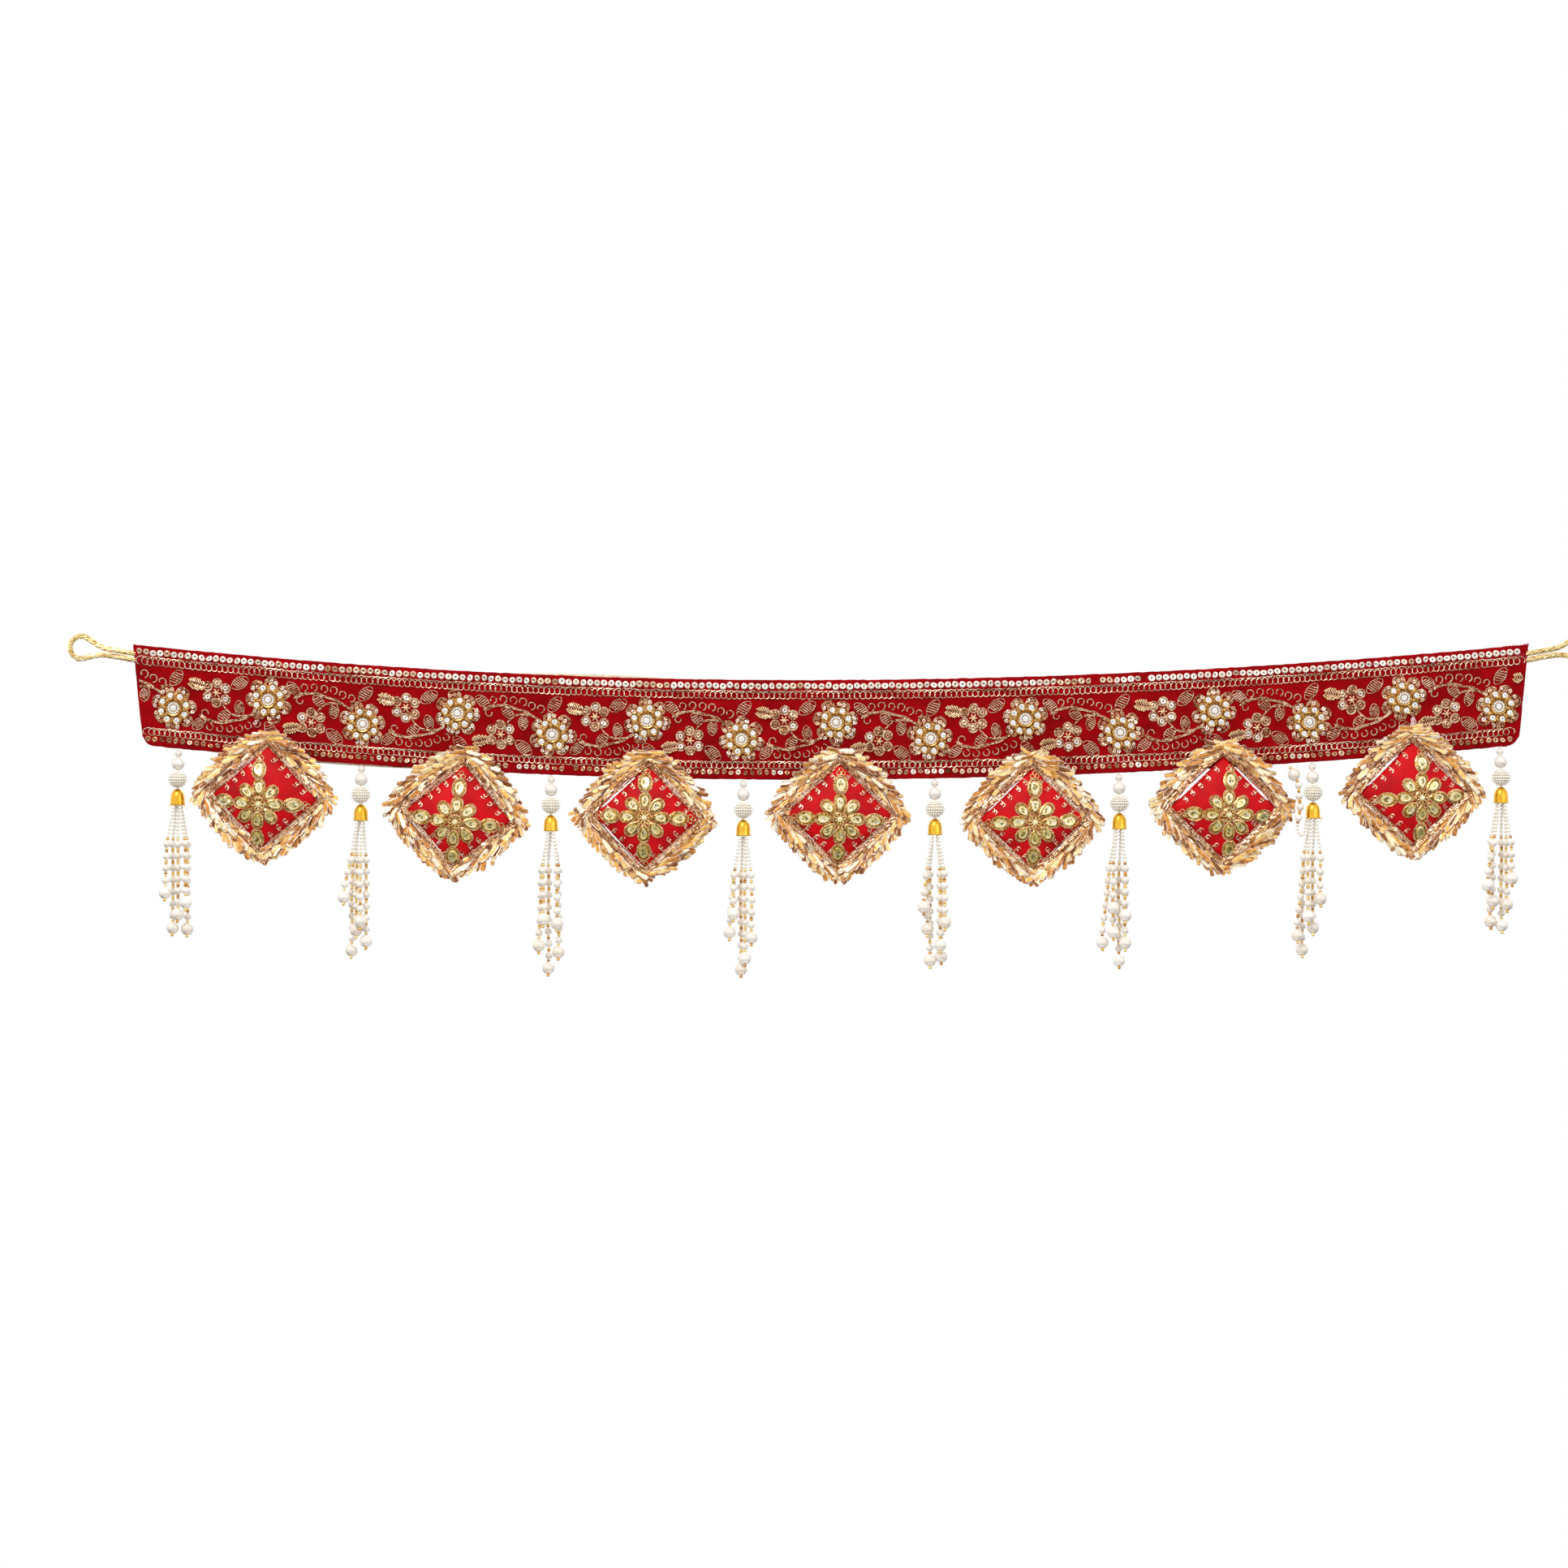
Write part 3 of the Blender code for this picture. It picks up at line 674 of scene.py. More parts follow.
def gota_ribbon():
    """Metal ribbon: fine ribs, gold faces with painted highlights and amber folds of painted shade."""
    finish = Finish("gota_ribbon", {"Specular IOR Level": 0.7})
    tone = finish.tone()
    ribs = finish.grain(0.5, 1)
    folds = finish.grain(3, 2)
    # The ramp runs from painted shade in the folds and between leaves, through gold, to painted
    # highlights.
    color = finish.ramp(
        tone * 0.7 + folds * 0.35 + ribs * 0.15 - 0.1,
        (0.16, (0.24, 0.07, 0.01)),
        (0.36, (0.72, 0.29, 0.035)),
        (0.54, (0.98, 0.58, 0.14)),
        (0.72, (1.0, 0.80, 0.38)),
        (0.9, (1.0, 0.96, 0.78)),
    )
    return finish.made(
        color=color,
        roughness=0.16 + folds * 0.22,
        metallic=0.42,
        normal=finish.raised(ribs * 0.5 + folds, 0.25, 0.8),
    )


def pearl(name, shade, light, roughness):
    finish = Finish(name, {"Coat Weight": 0.8, "Coat Roughness": 0.05, "Sheen Weight": 0.15})
    finish.set(finish.shader, {"Specular IOR Level": 0.6})
    tone = finish.tone()
    cloud = finish.grain(4, 2)
    color = finish.ramp(cloud * 0.5 + tone * 0.5, (0.2, light), (0.75, shade))
    return finish.made(color=color, roughness=roughness + cloud * 0.1, metallic=0.15)


def amber_bead():
    finish = Finish("amber_bead", {"Coat Weight": 0.7, "Coat Roughness": 0.05})
    tone = finish.tone()
    cloud = finish.grain(1.2, 2)
    color = finish.ramp(
        tone * 0.6 + cloud * 0.5,
        (0.25, (0.45, 0.16, 0.02)),
        (0.5, (0.85, 0.45, 0.06)),
        (0.8, (1.0, 0.78, 0.30)),
    )
    return finish.made(color=color, roughness=0.2 + cloud * 0.1, metallic=0.6)


def soft_thread(name, dark, light):
    finish = Finish(name, {"Sheen Weight": 0.3})
    twisted = finish.grain(0.5, 2)
    color = finish.ramp(twisted, (0.35, dark), (0.65, light))
    return finish.made(color=color, roughness=0.7 + twisted * 0.2)


def pale_floor():
    finish = Finish("pale_floor", {})
    speckle = finish.grain(3, 3)
    color = finish.ramp(speckle, (0.4, (0.74, 0.73, 0.72)), (0.6, (0.78, 0.775, 0.77)))
    return finish.made(color=color, roughness=0.85 + speckle * 0.1)


VELVET = deep_red_velvet()
SATIN = bright_red_satin()
LINING = cream_lining()
# Each thread's first colour is painted shade between its twists and its last a painted highlight on
# them.
ROSE_THREAD = metal_thread(
    "rose_gold_thread", (0.15, 0.035, 0.012), (0.74, 0.40, 0.20), (1.0, 0.88, 0.70), 0.3, 1.1
)
EDGE_THREAD = metal_thread(
    "ribbon_edge_thread", (0.25, 0.07, 0.03), (0.86, 0.50, 0.34), (1.0, 0.88, 0.76), 0.3, 3.0
)
COPPER_THREAD = metal_thread(
    "copper_thread", (0.16, 0.05, 0.02), (0.58, 0.27, 0.10), (0.98, 0.72, 0.46), 0.3, 1.6
)
GOLD_THREAD = metal_thread(
    "gold_thread", (0.34, 0.14, 0.03), (0.84, 0.54, 0.18), (1.0, 0.86, 0.52), 0.28, 1.0
)
TINSEL = tinsel_cord()
SETTING = plain_metal("gold_setting", (0.34, 0.13, 0.02), (0.90, 0.58, 0.20), 0.24, 1.6)
CAP_GOLD = plain_metal("bell_cap_gold", (0.90, 0.44, 0.03), (1.0, 0.60, 0.07), 0.14, 9)
SEQUIN = champagne_sequin()
CLEAR = clear_stone()
OLIVE = olive_stone()
RIBBON = gota_ribbon()
PEARL = pearl("pearl", (0.86, 0.74, 0.60), (0.99, 0.95, 0.89), 0.12)
SEED_PEARL = pearl("seed_pearl", (0.92, 0.84, 0.68), (1.0, 0.96, 0.87), 0.18)
AMBER = amber_bead()
CREAM_THREAD = soft_thread("cream_thread", (0.62, 0.54, 0.42), (0.90, 0.86, 0.78))
PINK_THREAD = soft_thread("pink_thread", (0.80, 0.42, 0.42), (0.98, 0.90, 0.90))
RED_FLUFF = soft_thread("red_fluff", (0.30, 0.0, 0.004), (0.58, 0.0, 0.008))
# The near-black thread is the stitch in each sequin hole and partly painted shade there.
DARK_THREAD = soft_thread("dark_thread", (0.05, 0.004, 0.002), (0.14, 0.02, 0.01))


# Camera, light and floor

CAMERA_AT = (-0.0314, -2.5, -0.0699)
VIEW_WIDTH = 1.0549
SENSOR = 36.0
FLOOR_LEVEL = -0.78
FLOOR_RADIUS = 0.6
SKY = 0.95
# Name, place, size, power and tint
LIGHTS = (
    ("key", (-0.8, -1.7, 1.6), 0.9, 24, (1.0, 0.99, 0.97)),
    ("fill", (1.5, -1.7, 0.4), 1.4, 4, (0.97, 0.98, 1.0)),
    ("back", (0.3, 1.9, 1.0), 1.5, 8, (1, 1, 1)),
)


def make_camera():
    camera = bpy.data.objects.new("camera", bpy.data.cameras.new("camera"))
    camera.data.sensor_width = SENSOR
    camera.data.lens = SENSOR * -CAMERA_AT[1] / VIEW_WIDTH
    camera.location = CAMERA_AT
    camera.rotation_euler = (math.radians(90), 0, 0)
    bpy.context.scene.collection.objects.link(camera)
    bpy.context.scene.camera = camera


def make_light(name, at, size, power, tint):
    """A soft square light that faces the middle of the hanging."""
    lamp = bpy.data.lights.new(name, "AREA")
    lamp.size = size
    lamp.energy = power
    lamp.color = tint
    light = bpy.data.objects.new(name, lamp)
    light.location = at
    light.rotation_euler = (Vector((0, 0, -0.07)) - Vector(at)).to_track_quat("-Z", "Y").to_euler()
    bpy.context.scene.collection.objects.link(light)


def make_surroundings():
    """White behind the hanging, and for its gloss a bright sky over a dim ground."""
    world = bpy.data.worlds.new("studio")
    world.use_nodes = True
    tree = world.node_tree
    tree.nodes.clear()
    seen = tree.nodes.new("ShaderNodeBackground")
    seen.inputs["Color"].default_value = (1, 1, 1, 1)
    lit = tree.nodes.new("ShaderNodeBackground")
    place = tree.nodes.new("ShaderNodeTexCoord")
    split = tree.nodes.new("ShaderNodeSeparateXYZ")
    ramp = tree.nodes.new("ShaderNodeValToRGB")
    ramp.color_ramp.elements[0].position = 0.18
    ramp.color_ramp.elements[0].color = (0.09, 0.08, 0.075, 1)
    ramp.color_ramp.elements[1].position = 0.5
    ramp.color_ramp.elements[1].color = (1, 1, 1, 1)
    level = tree.nodes.new("ShaderNodeMath")
    level.operation = "MULTIPLY_ADD"
    level.inputs[1].default_value = 0.5
    level.inputs[2].default_value = 0.5
    ray = tree.nodes.new("ShaderNodeLightPath")
    mix = tree.nodes.new("ShaderNodeMixShader")
    output = tree.nodes.new("ShaderNodeOutputWorld")
    tree.links.new(place.outputs["Generated"], split.inputs[0])
    tree.links.new(split.outputs["Z"], level.inputs[0])
    tree.links.new(level.outputs[0], ramp.inputs["Fac"])
    tree.links.new(ramp.outputs["Color"], lit.inputs["Color"])
    lit.inputs["Strength"].default_value = SKY
    tree.links.new(ray.outputs["Is Camera Ray"], mix.inputs[0])
    tree.links.new(lit.outputs[0], mix.inputs[1])
    tree.links.new(seen.outputs[0], mix.inputs[2])
    tree.links.new(mix.outputs[0], output.inputs["Surface"])
    bpy.context.scene.world = world
    bpy.context.scene.view_settings.view_transform = "Standard"


def make_floor():
    bm = bmesh.new()
    matrix = Matrix.Translation((0, 0, FLOOR_LEVEL))
    bmesh.ops.create_circle(bm, cap_ends=True, segments=64, radius=FLOOR_RADIUS, matrix=matrix)
    mesh = bpy.data.meshes.new("floor")
    bm.to_mesh(mesh)
    bm.free()
    mesh.materials.append(pale_floor())
    floor = bpy.data.objects.new("floor", mesh)
    bpy.context.scene.collection.objects.link(floor)
    floor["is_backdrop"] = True


# Ties

def loop_route(side):
    """Points of a tie's centreline: out along one leg, round the eye and back."""
    along = Vector((side * math.cos(LOOP_RISE), 0, math.sin(LOOP_RISE)))
    across = Vector((-side * math.sin(LOOP_RISE), 0, math.cos(LOOP_RISE)))
    start_x = BAND_HALF - END_SLANT * LOOP_BELOW_EDGE + LOOP_START
    level = top_edge(side * BAND_HALF) - LOOP_BELOW_EDGE
    start = Vector((side * start_x, CORD_DEPTH, level))
    mirrored = [(out, -up) for out, up in LOOP_ROUTE[-2::-1]]
    return [start + along * out + across * up for out, up in (*LOOP_ROUTE, *mirrored)]


def make_tie(name, side):
    """A loop of tinsel cord, its fibres laid in a long twist."""
    route = smooth_points(loop_route(side), 96)
    inward = Vector((-side * math.cos(LOOP_RISE), 0, -math.sin(LOOP_RISE)))
    route = [route[0] + inward * TUCKED_ABOVE, *route, route[-1] + inward * TUCKED_BELOW]
    work = Work(name)
    strand = 0.66
    strands = wound(route, CORD_RADIUS - strand, CORD_LAY, CORD_STRANDS)
    work.lay(thread(strands, strand), TINSEL)
    work.lay(thread([route], CORD_RADIUS - strand), TINSEL)
    tie = work.done((f"tie_{'left' if side < 0 else 'right'}",))
    centreline = [tuple(point * MM) for point in smooth_points(loop_route(side), 36)]
    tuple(centreline[0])


# Band and lining

def cut_strip(half, back, thick, rise, fall, rough, round_over, segments):
    """A strip cut to the band's shape: its edges wander by rough and are rounded over."""
    bm = bmesh.new()
    bmesh.ops.create_grid(bm, x_segments=segments[0], y_segments=segments[1], size=1)
    for vert in bm.verts:
        share = (1 - vert.co.y) / 2
        end = half * (1 - END_SLANT * BAND_HEIGHT / half * share)
        x = vert.co.x * end
        height = BAND_HEIGHT + rise(x) + fall(x)
        up = height * (1 - share)
        aside, above = CORNER - (end - abs(x)), CORNER - up
        if aside > 0 and above > 0:
            pull = max(aside, above) / math.hypot(aside, above)
            x = math.copysign(end - CORNER + aside * pull, x)
            up = CORNER - above * pull
        wander = rough * noise.noise((x * 0.35, share * 9, back))
        wander += rough * 0.6 * noise.noise((x * 1.3, share * 30, back))
        on_rim = abs(abs(vert.co.x) - 1) < 0.001 or abs(abs(vert.co.y) - 1) < 0.001
        if on_rim:
            x += wander
            up += wander
        vert.co = (x, back, top_edge(x) - BAND_HEIGHT - fall(x) + up)
    front = bmesh.ops.extrude_face_region(bm, geom=list(bm.faces))
    moved = [v for v in front["geom"] if isinstance(v, bmesh.types.BMVert)]
    bmesh.ops.translate(bm, verts=moved, vec=(0, -thick, 0))
    bmesh.ops.recalc_face_normals(bm, faces=bm.faces)
    rims = [e for e in bm.edges if len(e.link_faces) == 2 and e.calc_face_angle(0) > 1]
    bmesh.ops.bevel(
        bm,
        geom=rims,
        offset=round_over,
        segments=2,
        profile=0.5,
        affect="EDGES",
        material=-1,
    )
    return shape_of(bm)


def make_band():
    work = Work("velvet_band")
    work.lay(
        cut_strip(
            BAND_HALF, BAND_BACK, BAND_THICK, lambda x: 0, lambda x: 0, 0.35, 0.6, (300, 12)
        ),
        VELVET,
    )
    band = work.done(("band",), 80)
    work = Work("back_lining")
    work.lay(
        cut_strip(
            BAND_HALF - LINING_INSET,
            0,
            LINING_THICK,
            lambda x: LINING_ABOVE[0] * bump(x, *LINING_ABOVE[1:]) - LINING_INSET,
            lambda x: LINING_BELOW[0] * bump(x, *LINING_BELOW[1:]) - LINING_INSET,
            0.5,
            0.3,
            (300, 12),
        ),
        LINING,
    )
    lining = work.done(("lining",), 80)
    return band, lining


def hem_stitches():
    """Running stitches round the lining's back and whipping where the ties go in."""
    work = Work("hem_stitches")
    dashes = []
    for below in (3.2, BAND_HEIGHT - 3.6):
        x = -BAND_HALF + 9
        while x < BAND_HALF - 11:
            start = Vector((x, 0.15, top_edge(x) - below))
            end = Vector((x + 3.1, 0.15, top_edge(x + 3.1) - below))
            middle = (start + end) / 2 + Vector((0, 0.25, 0))
            dashes.append([start, middle, end])
            x += 5.0
    work.lay(thread(dashes, 0.28, 4), CREAM_THREAD)
    whips = []
    for side in (-1, 1):
        for stitch in range(5):
            x = side * (BAND_HALF - 2.2 - 1.5 * stitch)
            heights = ((-2.4, 0.0), (0.0, 0.55), (2.4, 0.0))
            whips.append([on_band(x, LOOP_BELOW_EDGE + down, out) for down, out in heights])
    work.lay(thread(whips, 0.3), RED_FLUFF)
    return work.done()


def loose_fluff():
    """Short velvet threads that stand off the cut edges at the right end."""
    rng = random.Random(4)
    work = Work("frayed_ends")
    hairs = []
    for number in range(90):
        if number < 50:
            x = BAND_HALF - rng.uniform(0, 6) ** 1.6
            start = Vector((min(x, BAND_HALF - 0.4), rng.uniform(-3.1, -1.5), top_edge(x) - 0.5))
            way = Vector((rng.uniform(-0.9, 0.9), rng.uniform(-0.4, 0.4), rng.uniform(0.3, 1.5)))
        elif number < 70:
            below = rng.uniform(0, BAND_HEIGHT - 10)
            x = BAND_HALF - END_SLANT * below - 0.5
            start = on_band(x, below, rng.uniform(-1.6, -0.3))
            way = Vector((rng.uniform(0.2, 0.8), rng.uniform(-0.3, 0.3), rng.uniform(-0.8, 0.8)))
        else:
            x = BAND_HALF - 15 - rng.uniform(0, 8)
            start = on_band(x, BAND_HEIGHT - 0.6, rng.uniform(-1.6, -0.3))
            way = Vector((rng.uniform(-0.9, 0.9), rng.uniform(-0.3, 0.3), -rng.uniform(0.4, 1.2)))
        bend = Vector((rng.uniform(-0.4, 0.4), 0, rng.uniform(-0.4, 0.4)))
        hairs.append([start, start + way * 0.5 + bend, start + way])
    work.lay(thread(hairs, HAIR, 4), RED_FLUFF)
    return work.done()


# Embroidery

# The stitch in a sequin's hole, near black: partly the stitch, partly painted shade in the hole
HOLE = Matrix.Translation((0, 0, -0.05)) @ sized(0.33, 0.33, 0.08)


def sequin():
    """A cupped ring with a stitched hole."""
    return turned(((0.27, 0.0), (0.62, 0.16), (1.0, 0.02), (0.98, -0.1), (0.6, 0.02), (0.27, 0.0)), 10)


def sequin_places(rng, below, step, size, lean):
    """Places for a row of sequins along the band."""
    places = []
    x = -BAND_HALF + END_SLANT * below + 4.0
    while x < BAND_HALF - END_SLANT * below - 3.5:
        if rng.random() > 0.015:
            out = Vector((rng.gauss(0, lean), -1, rng.gauss(0, lean)))
            at = on_band(x, below + rng.gauss(0, 0.18), 0.45)
            places.append(facing(at, out, (1, 0, 0)) @ sized(size * rng.uniform(0.94, 1.05)))
        x += step * rng.uniform(0.97, 1.03)
    return places


def runs(rng, count, levels, change):
    """Tones that keep to a level for a while, as beads from one packet do."""
    tones = []
    level = rng.choice(levels)
    for _ in range(count):
        if rng.random() < change:
            level = rng.choice(levels)
        tones.append(min(1, max(0, level + rng.gauss(0, 0.09))))
    return tones


def chain_route(rng, below, height, step, drift):
    """One long thread looped over and over along the band."""
    route = []
    end = BAND_HALF - END_SLANT * below - CHAIN_INSET
    start = -end
    loops = int((end - start - 3) / step)
    for loop in range(loops):
        tall = height / 2 * rng.uniform(0.9, 1.05)
        wide = CHAIN_WIDTH * rng.uniform(0.9, 1.08)
        shift = rng.gauss(0, drift)
        for part in range(CHAIN_PARTS):
            turn = math.tau * part / CHAIN_PARTS
            x = start + 1.5 + step * (loop + part / CHAIN_PARTS) - wide * math.sin(turn)
            level = below + tall * math.cos(turn) + shift
            out = 0.35 + 0.3 * (0.5 + 0.5 * math.sin(turn))
            route.append(on_band(x, level, out))
    return route


def make_rows():
    """The sequin rows and looped threads along both edges."""
    rng = random.Random(11)
    work = Work("edge_rows")
    bright = sequin_places(rng, *TOP_SEQUINS)
    work.lay(sequin(), SEQUIN, bright, runs(rng, len(bright), (0.95, 0.9, 0.9, 0.6, 0.95), 0.3))
    dull = sequin_places(rng, *LOW_SEQUINS)
    work.lay(sequin(), SEQUIN, dull, runs(rng, len(dull), (0.3, 0.45, 0.55, 0.85, 0.4), 0.5))
    work.lay(ball(6, 3), DARK_THREAD, [place @ HOLE for place in bright + dull])
    routes = [chain_route(rng, *TOP_CHAIN), chain_route(rng, *LOW_CHAIN)]
    work.lay(thread(routes, CHAIN_THREAD, 4), ROSE_THREAD, tones=0.7)
    return work.done()


# The vine between two flowers, as (along, up) from the high flower's middle
MAIN_STEM = (
    (17.0, 3.0), (22.2, 5.7), (30.9, 6.8), (38.5, 5.1), (47.3, 2.4), (51.7, -0.3), (54.9, -2.2),
)
SIDE_STEM = ((51.7, -0.1), (47.0, 1.0), (42.4, 1.3), (37.5, -0.3), (33.2, -4.7), (30.2, -10.2))
CURLS = (
    (23.8, 10.4, 0), (30.4, 11.0, 0), (37.2, 10.5, 0), (43.5, 9.9, 0), (49.5, 7.4, -15),
    (55.6, 5.6, -25), (21.1, 1.2, 160),
)
# Along, up, length, width, the tip's direction and the number of bars
LEAVES = (
    (16.7, 8.8, 10.2, 6.0, 138, 5),
    (1.6, -20.4, 11.5, 6.6, -50, 5),
    (33.6, 1.9, 8.6, 5.6, -38, 4),
    (44.0, -4.1, 9.2, 5.8, -98, 5),
    (44.2, -21.0, 12.0, 7.0, -36, 6),
)
CHEVRON_LEAF = (21.2, -16.4, 192)
SMALL_FLOWER = (28.7, -12.9)
SMALL_PETALS = ((-0.2, 6.6), (5.9, 3.9), (5.9, -3.6), (0.4, -6.6), (-6.1, -3.9), (-6.1, 3.0))


def leaf_outline(length, width, count=12):
    """A pointed leaf's outline as (along, aside), from its root round the tip and back."""
    outline = []
    for step in range(count + 1):
        turn = math.tau * step / count
        along = length / 2 * -math.cos(turn)
        aside = width / 2 * math.sin(turn) * abs(math.sin(turn)) ** 0.25
        outline.append((along, aside))
    return outline


class Vine:
    """Threads, sequins and beads of the vine, gathered over all its lengths."""

    def __init__(self):
        self.rng = random.Random(23)
        self.outlines = []
        self.stems = []
        self.bars = []
        self.curls = []
        self.bullion = []
        self.sequins = []
        self.beads = []

    def chart(self, flower_x, flower_below, upright):
        """Reads (along, up, out) of the chart into a place on the band."""
        def at(along, up, out=0.4):
            x = flower_x + along
            return on_band(x, flower_below - up * upright, out)
        return at

    def inside(self, at, along, up, margin=1.4):
        spot = at(along, up)
        below = top_edge(spot.x) - spot.z
        return abs(spot.x) < BAND_HALF - END_SLANT * below - margin

    def stem(self, at, keys, strands, wide):
        line = smooth_points([Vector((along, up, 0)) for along, up in keys], 20)
        line = [point for point in line if self.inside(at, point.x, point.y)]
        if len(line) < 3:
            return
        for number in range(strands):
            aside = (number - (strands - 1) / 2) * wide
            route = []
            for step, point in enumerate(line):
                sway = 0.22 * math.sin(step * 1.3 + number * 2.1)
                out = 0.5 + 0.2 * math.cos(step * 1.3 + number * 2)
                route.append(at(point.x, point.y + aside + sway, out))
            self.stems.append(route)

    def leaf(self, at, along, up, length, width, angle, bars):
        if not self.inside(at, along, up, 4.4):
            return
        turn = math.radians(angle + self.rng.uniform(-6, 6))
        cos, sin = math.cos(turn), math.sin(turn)
        def spot(far, aside, out=0.4):
            return at(along + far * cos - aside * sin, up + far * sin + aside * cos, out)
        outline = leaf_outline(length * 1.1, width * 1.08)
        self.outlines.append([spot(*point) for point in outline])
        for bar in range(bars):
            far = length * (0.74 * (bar + 0.5) / bars - 0.37)
            half = width * 0.42 * math.sqrt(max(0.05, 1 - (2.15 * far / length) ** 2))
            slant = 0.8
            self.bars.append(
                [spot(far - slant, -half), spot(far, 0, 0.8), spot(far + slant, half)]
            )

    def curl(self, at, along, up, angle):
        if not self.inside(at, along, up, 3.4):
            return
        radius = 2.75 * self.rng.uniform(0.9, 1.08)
        points = []
        for step in range(11):
            turn = math.radians(angle - 80 + 300 * step / 10)
            grow = radius * (1 - 0.035 * step)
            points.append(at(along + grow * math.cos(turn), up + grow * math.sin(turn), 0.45))
        self.curls.append(points)

    def chevron(self, at, along, up, angle):
        """A leaf of short coiled wires in a herringbone, with a bead at some tips."""
        turn = math.radians(angle)
        cos, sin = math.cos(turn), math.sin(turn)
        for pair in range(7):
            far = 1.65 * pair
            reach = (2.6, 3.3, 3.6, 3.4, 3.0, 2.4, 1.6)[pair] * self.rng.uniform(0.9, 1.1)
            for hand in (-1, 1):
                tip = (far + reach * 0.8, hand * reach)
                ends = [(far, 0.3 * hand), tip]
                spots = [
                    (along + a * cos - b * sin, up + a * sin + b * cos) for a, b in ends
                ]
                if not all(self.inside(at, *spot) for spot in spots):
                    continue
                middle = ((spots[0][0] + spots[1][0]) / 2, (spots[0][1] + spots[1][1]) / 2)
                self.bullion.append([at(*spots[0], 0.5), at(*middle, 1.3), at(*spots[1], 0.6)])
                self.beads.append(at(*spots[1], 0.9))

    def small_flower(self, at, along, up):
        for far, high in SMALL_PETALS:
            petal = (along + far, up + high)
            if not self.inside(at, *petal, 3.8):
                continue
            self.sequins.append((at(*petal, 0.6), 1.95))
            for wide in (2.55, 3.2):
                outline = []
                for step in range(12):
                    turn = math.tau * step / 11
                    spot = (petal[0] + wide * math.cos(turn), petal[1] + wide * math.sin(turn))
                    outline.append(at(*spot, 0.45))
                self.outlines.append(outline)
        if not self.inside(at, along, up, 3.4):
            return
        for step in range(6):
            turn = math.tau * step / 6
            inner = at(along + 0.5 * math.cos(turn), up + 0.5 * math.sin(turn), 1.5)
            outer = at(along + 2.7 * math.cos(turn), up + 2.7 * math.sin(turn), 0.7)
            self.bullion.append([inner, (inner + outer) / 2 - Vector((0, 0.5, 0)), outer])
        self.beads.append(at(along, up, 1.7))

    def half_unit(self, flower_x, flower_below, upright):
        at = self.chart(flower_x, flower_below, upright)
        self.stem(at, MAIN_STEM, 3, 0.62)
        self.stem(at, SIDE_STEM, 2, 0.6)
        for curl in CURLS:
            self.curl(at, *curl)
        for leaf in LEAVES:
            self.leaf(at, *leaf)
        self.chevron(at, *CHEVRON_LEAF)
        self.small_flower(at, *SMALL_FLOWER)


def flower_place(number):
    """Along and below for a flower, which sits low where its number is even."""
    below = FLOWER_LOW if number % 2 == 0 else FLOWER_HIGH
    return FLOWER_FIRST + FLOWER_PITCH * number, below


def make_vine():
    vine = Vine()
    for number in range(-1, FLOWER_COUNT):
        x, below = flower_place(number)
        vine.half_unit(x, below, 1 if number % 2 else -1)
    rng = vine.rng
    work = Work("vine_embroidery")
    work.lay(thread(vine.outlines, OUTLINE_THREAD, 4), ROSE_THREAD, tones=0.7)
    work.lay(thread(vine.stems, STEM_THREAD, 4), ROSE_THREAD, tones=0.6)
    work.lay(thread(vine.bars, BAR_THREAD, 4), ROSE_THREAD, tones=0.75)
    work.lay(thread(vine.curls, STEM_THREAD, 4), ROSE_THREAD, tones=0.7)
    work.lay(thread(vine.bullion, BULLION_WIRE, 6), COPPER_THREAD, tones=0.9)
    places = [facing(at, (rng.gauss(0, 0.2), -1, rng.gauss(0, 0.2)), (1, 0, 0)) @ sized(size)
              for at, size in vine.sequins]
    tones = [rng.choice((0.3, 0.45, 0.6, 0.9, 0.95)) for _ in places]
    work.lay(sequin(), SEQUIN, places, tones)
    work.lay(ball(6, 3), DARK_THREAD, [place @ HOLE for place in places])
    beads =[Matrix.Translation(at) @ sized(0.7) for at in vine.beads]
    work.lay(ball(8, 5), GOLD_THREAD, beads, 0.9)
    return work.done()


# Jewelled flowers

def scalloped_plate():
    """A domed gold plate with eight lobes."""
    profile = (
        (0, 0), (10.9, 0), (11.4, 0.5), (10.9, 1.0), (9.4, 1.3), (6.4, 1.1), (5.6, 1.8), (0, 2.0),
    )
    mesh = turned(profile, 64)
    for vert in mesh.vertices:
        radius = math.hypot(vert.co.x, vert.co.y)
        round_lobe = abs(math.sin(4 * math.atan2(vert.co.y, vert.co.x)))
        lobes = 1 - 0.17 * min(1, radius / 10) * (1 - round_lobe**0.6)
        vert.co.x *= lobes
        vert.co.y *= lobes
    return mesh


def round_about(count, radius, rise, start=0.0):
    """Places evenly round a middle, each with its own X outwards."""
    turns = [Matrix.Rotation(math.tau * (n + start) / count, 4, "Z") for n in range(count)]
    return [turn @ Matrix.Translation((radius, 0, rise)) for turn in turns]


def painted_facet_reflections(rng, mesh, places, low, high):
    """A tone for each facet of each stone, a painted reflection: a bright table, a mixed crown and a
    dark star.
    """
    reach = max(vert.co.x for vert in mesh.vertices)
    tones = np.empty((len(places), len(mesh.polygons)))
    for row in range(len(places)):
        for face in mesh.polygons:
            share = rng.uniform(0.1, 1)
            if face.normal.z > 0.8:
                share = rng.uniform(0.55, 1)
                if face.center.xy.length < 0.34 * reach:
                    share = rng.choice((0.0, 0.1, 0.5, 1.0))
            tones[row, face.index] = low + (high - low) * share
    return tones


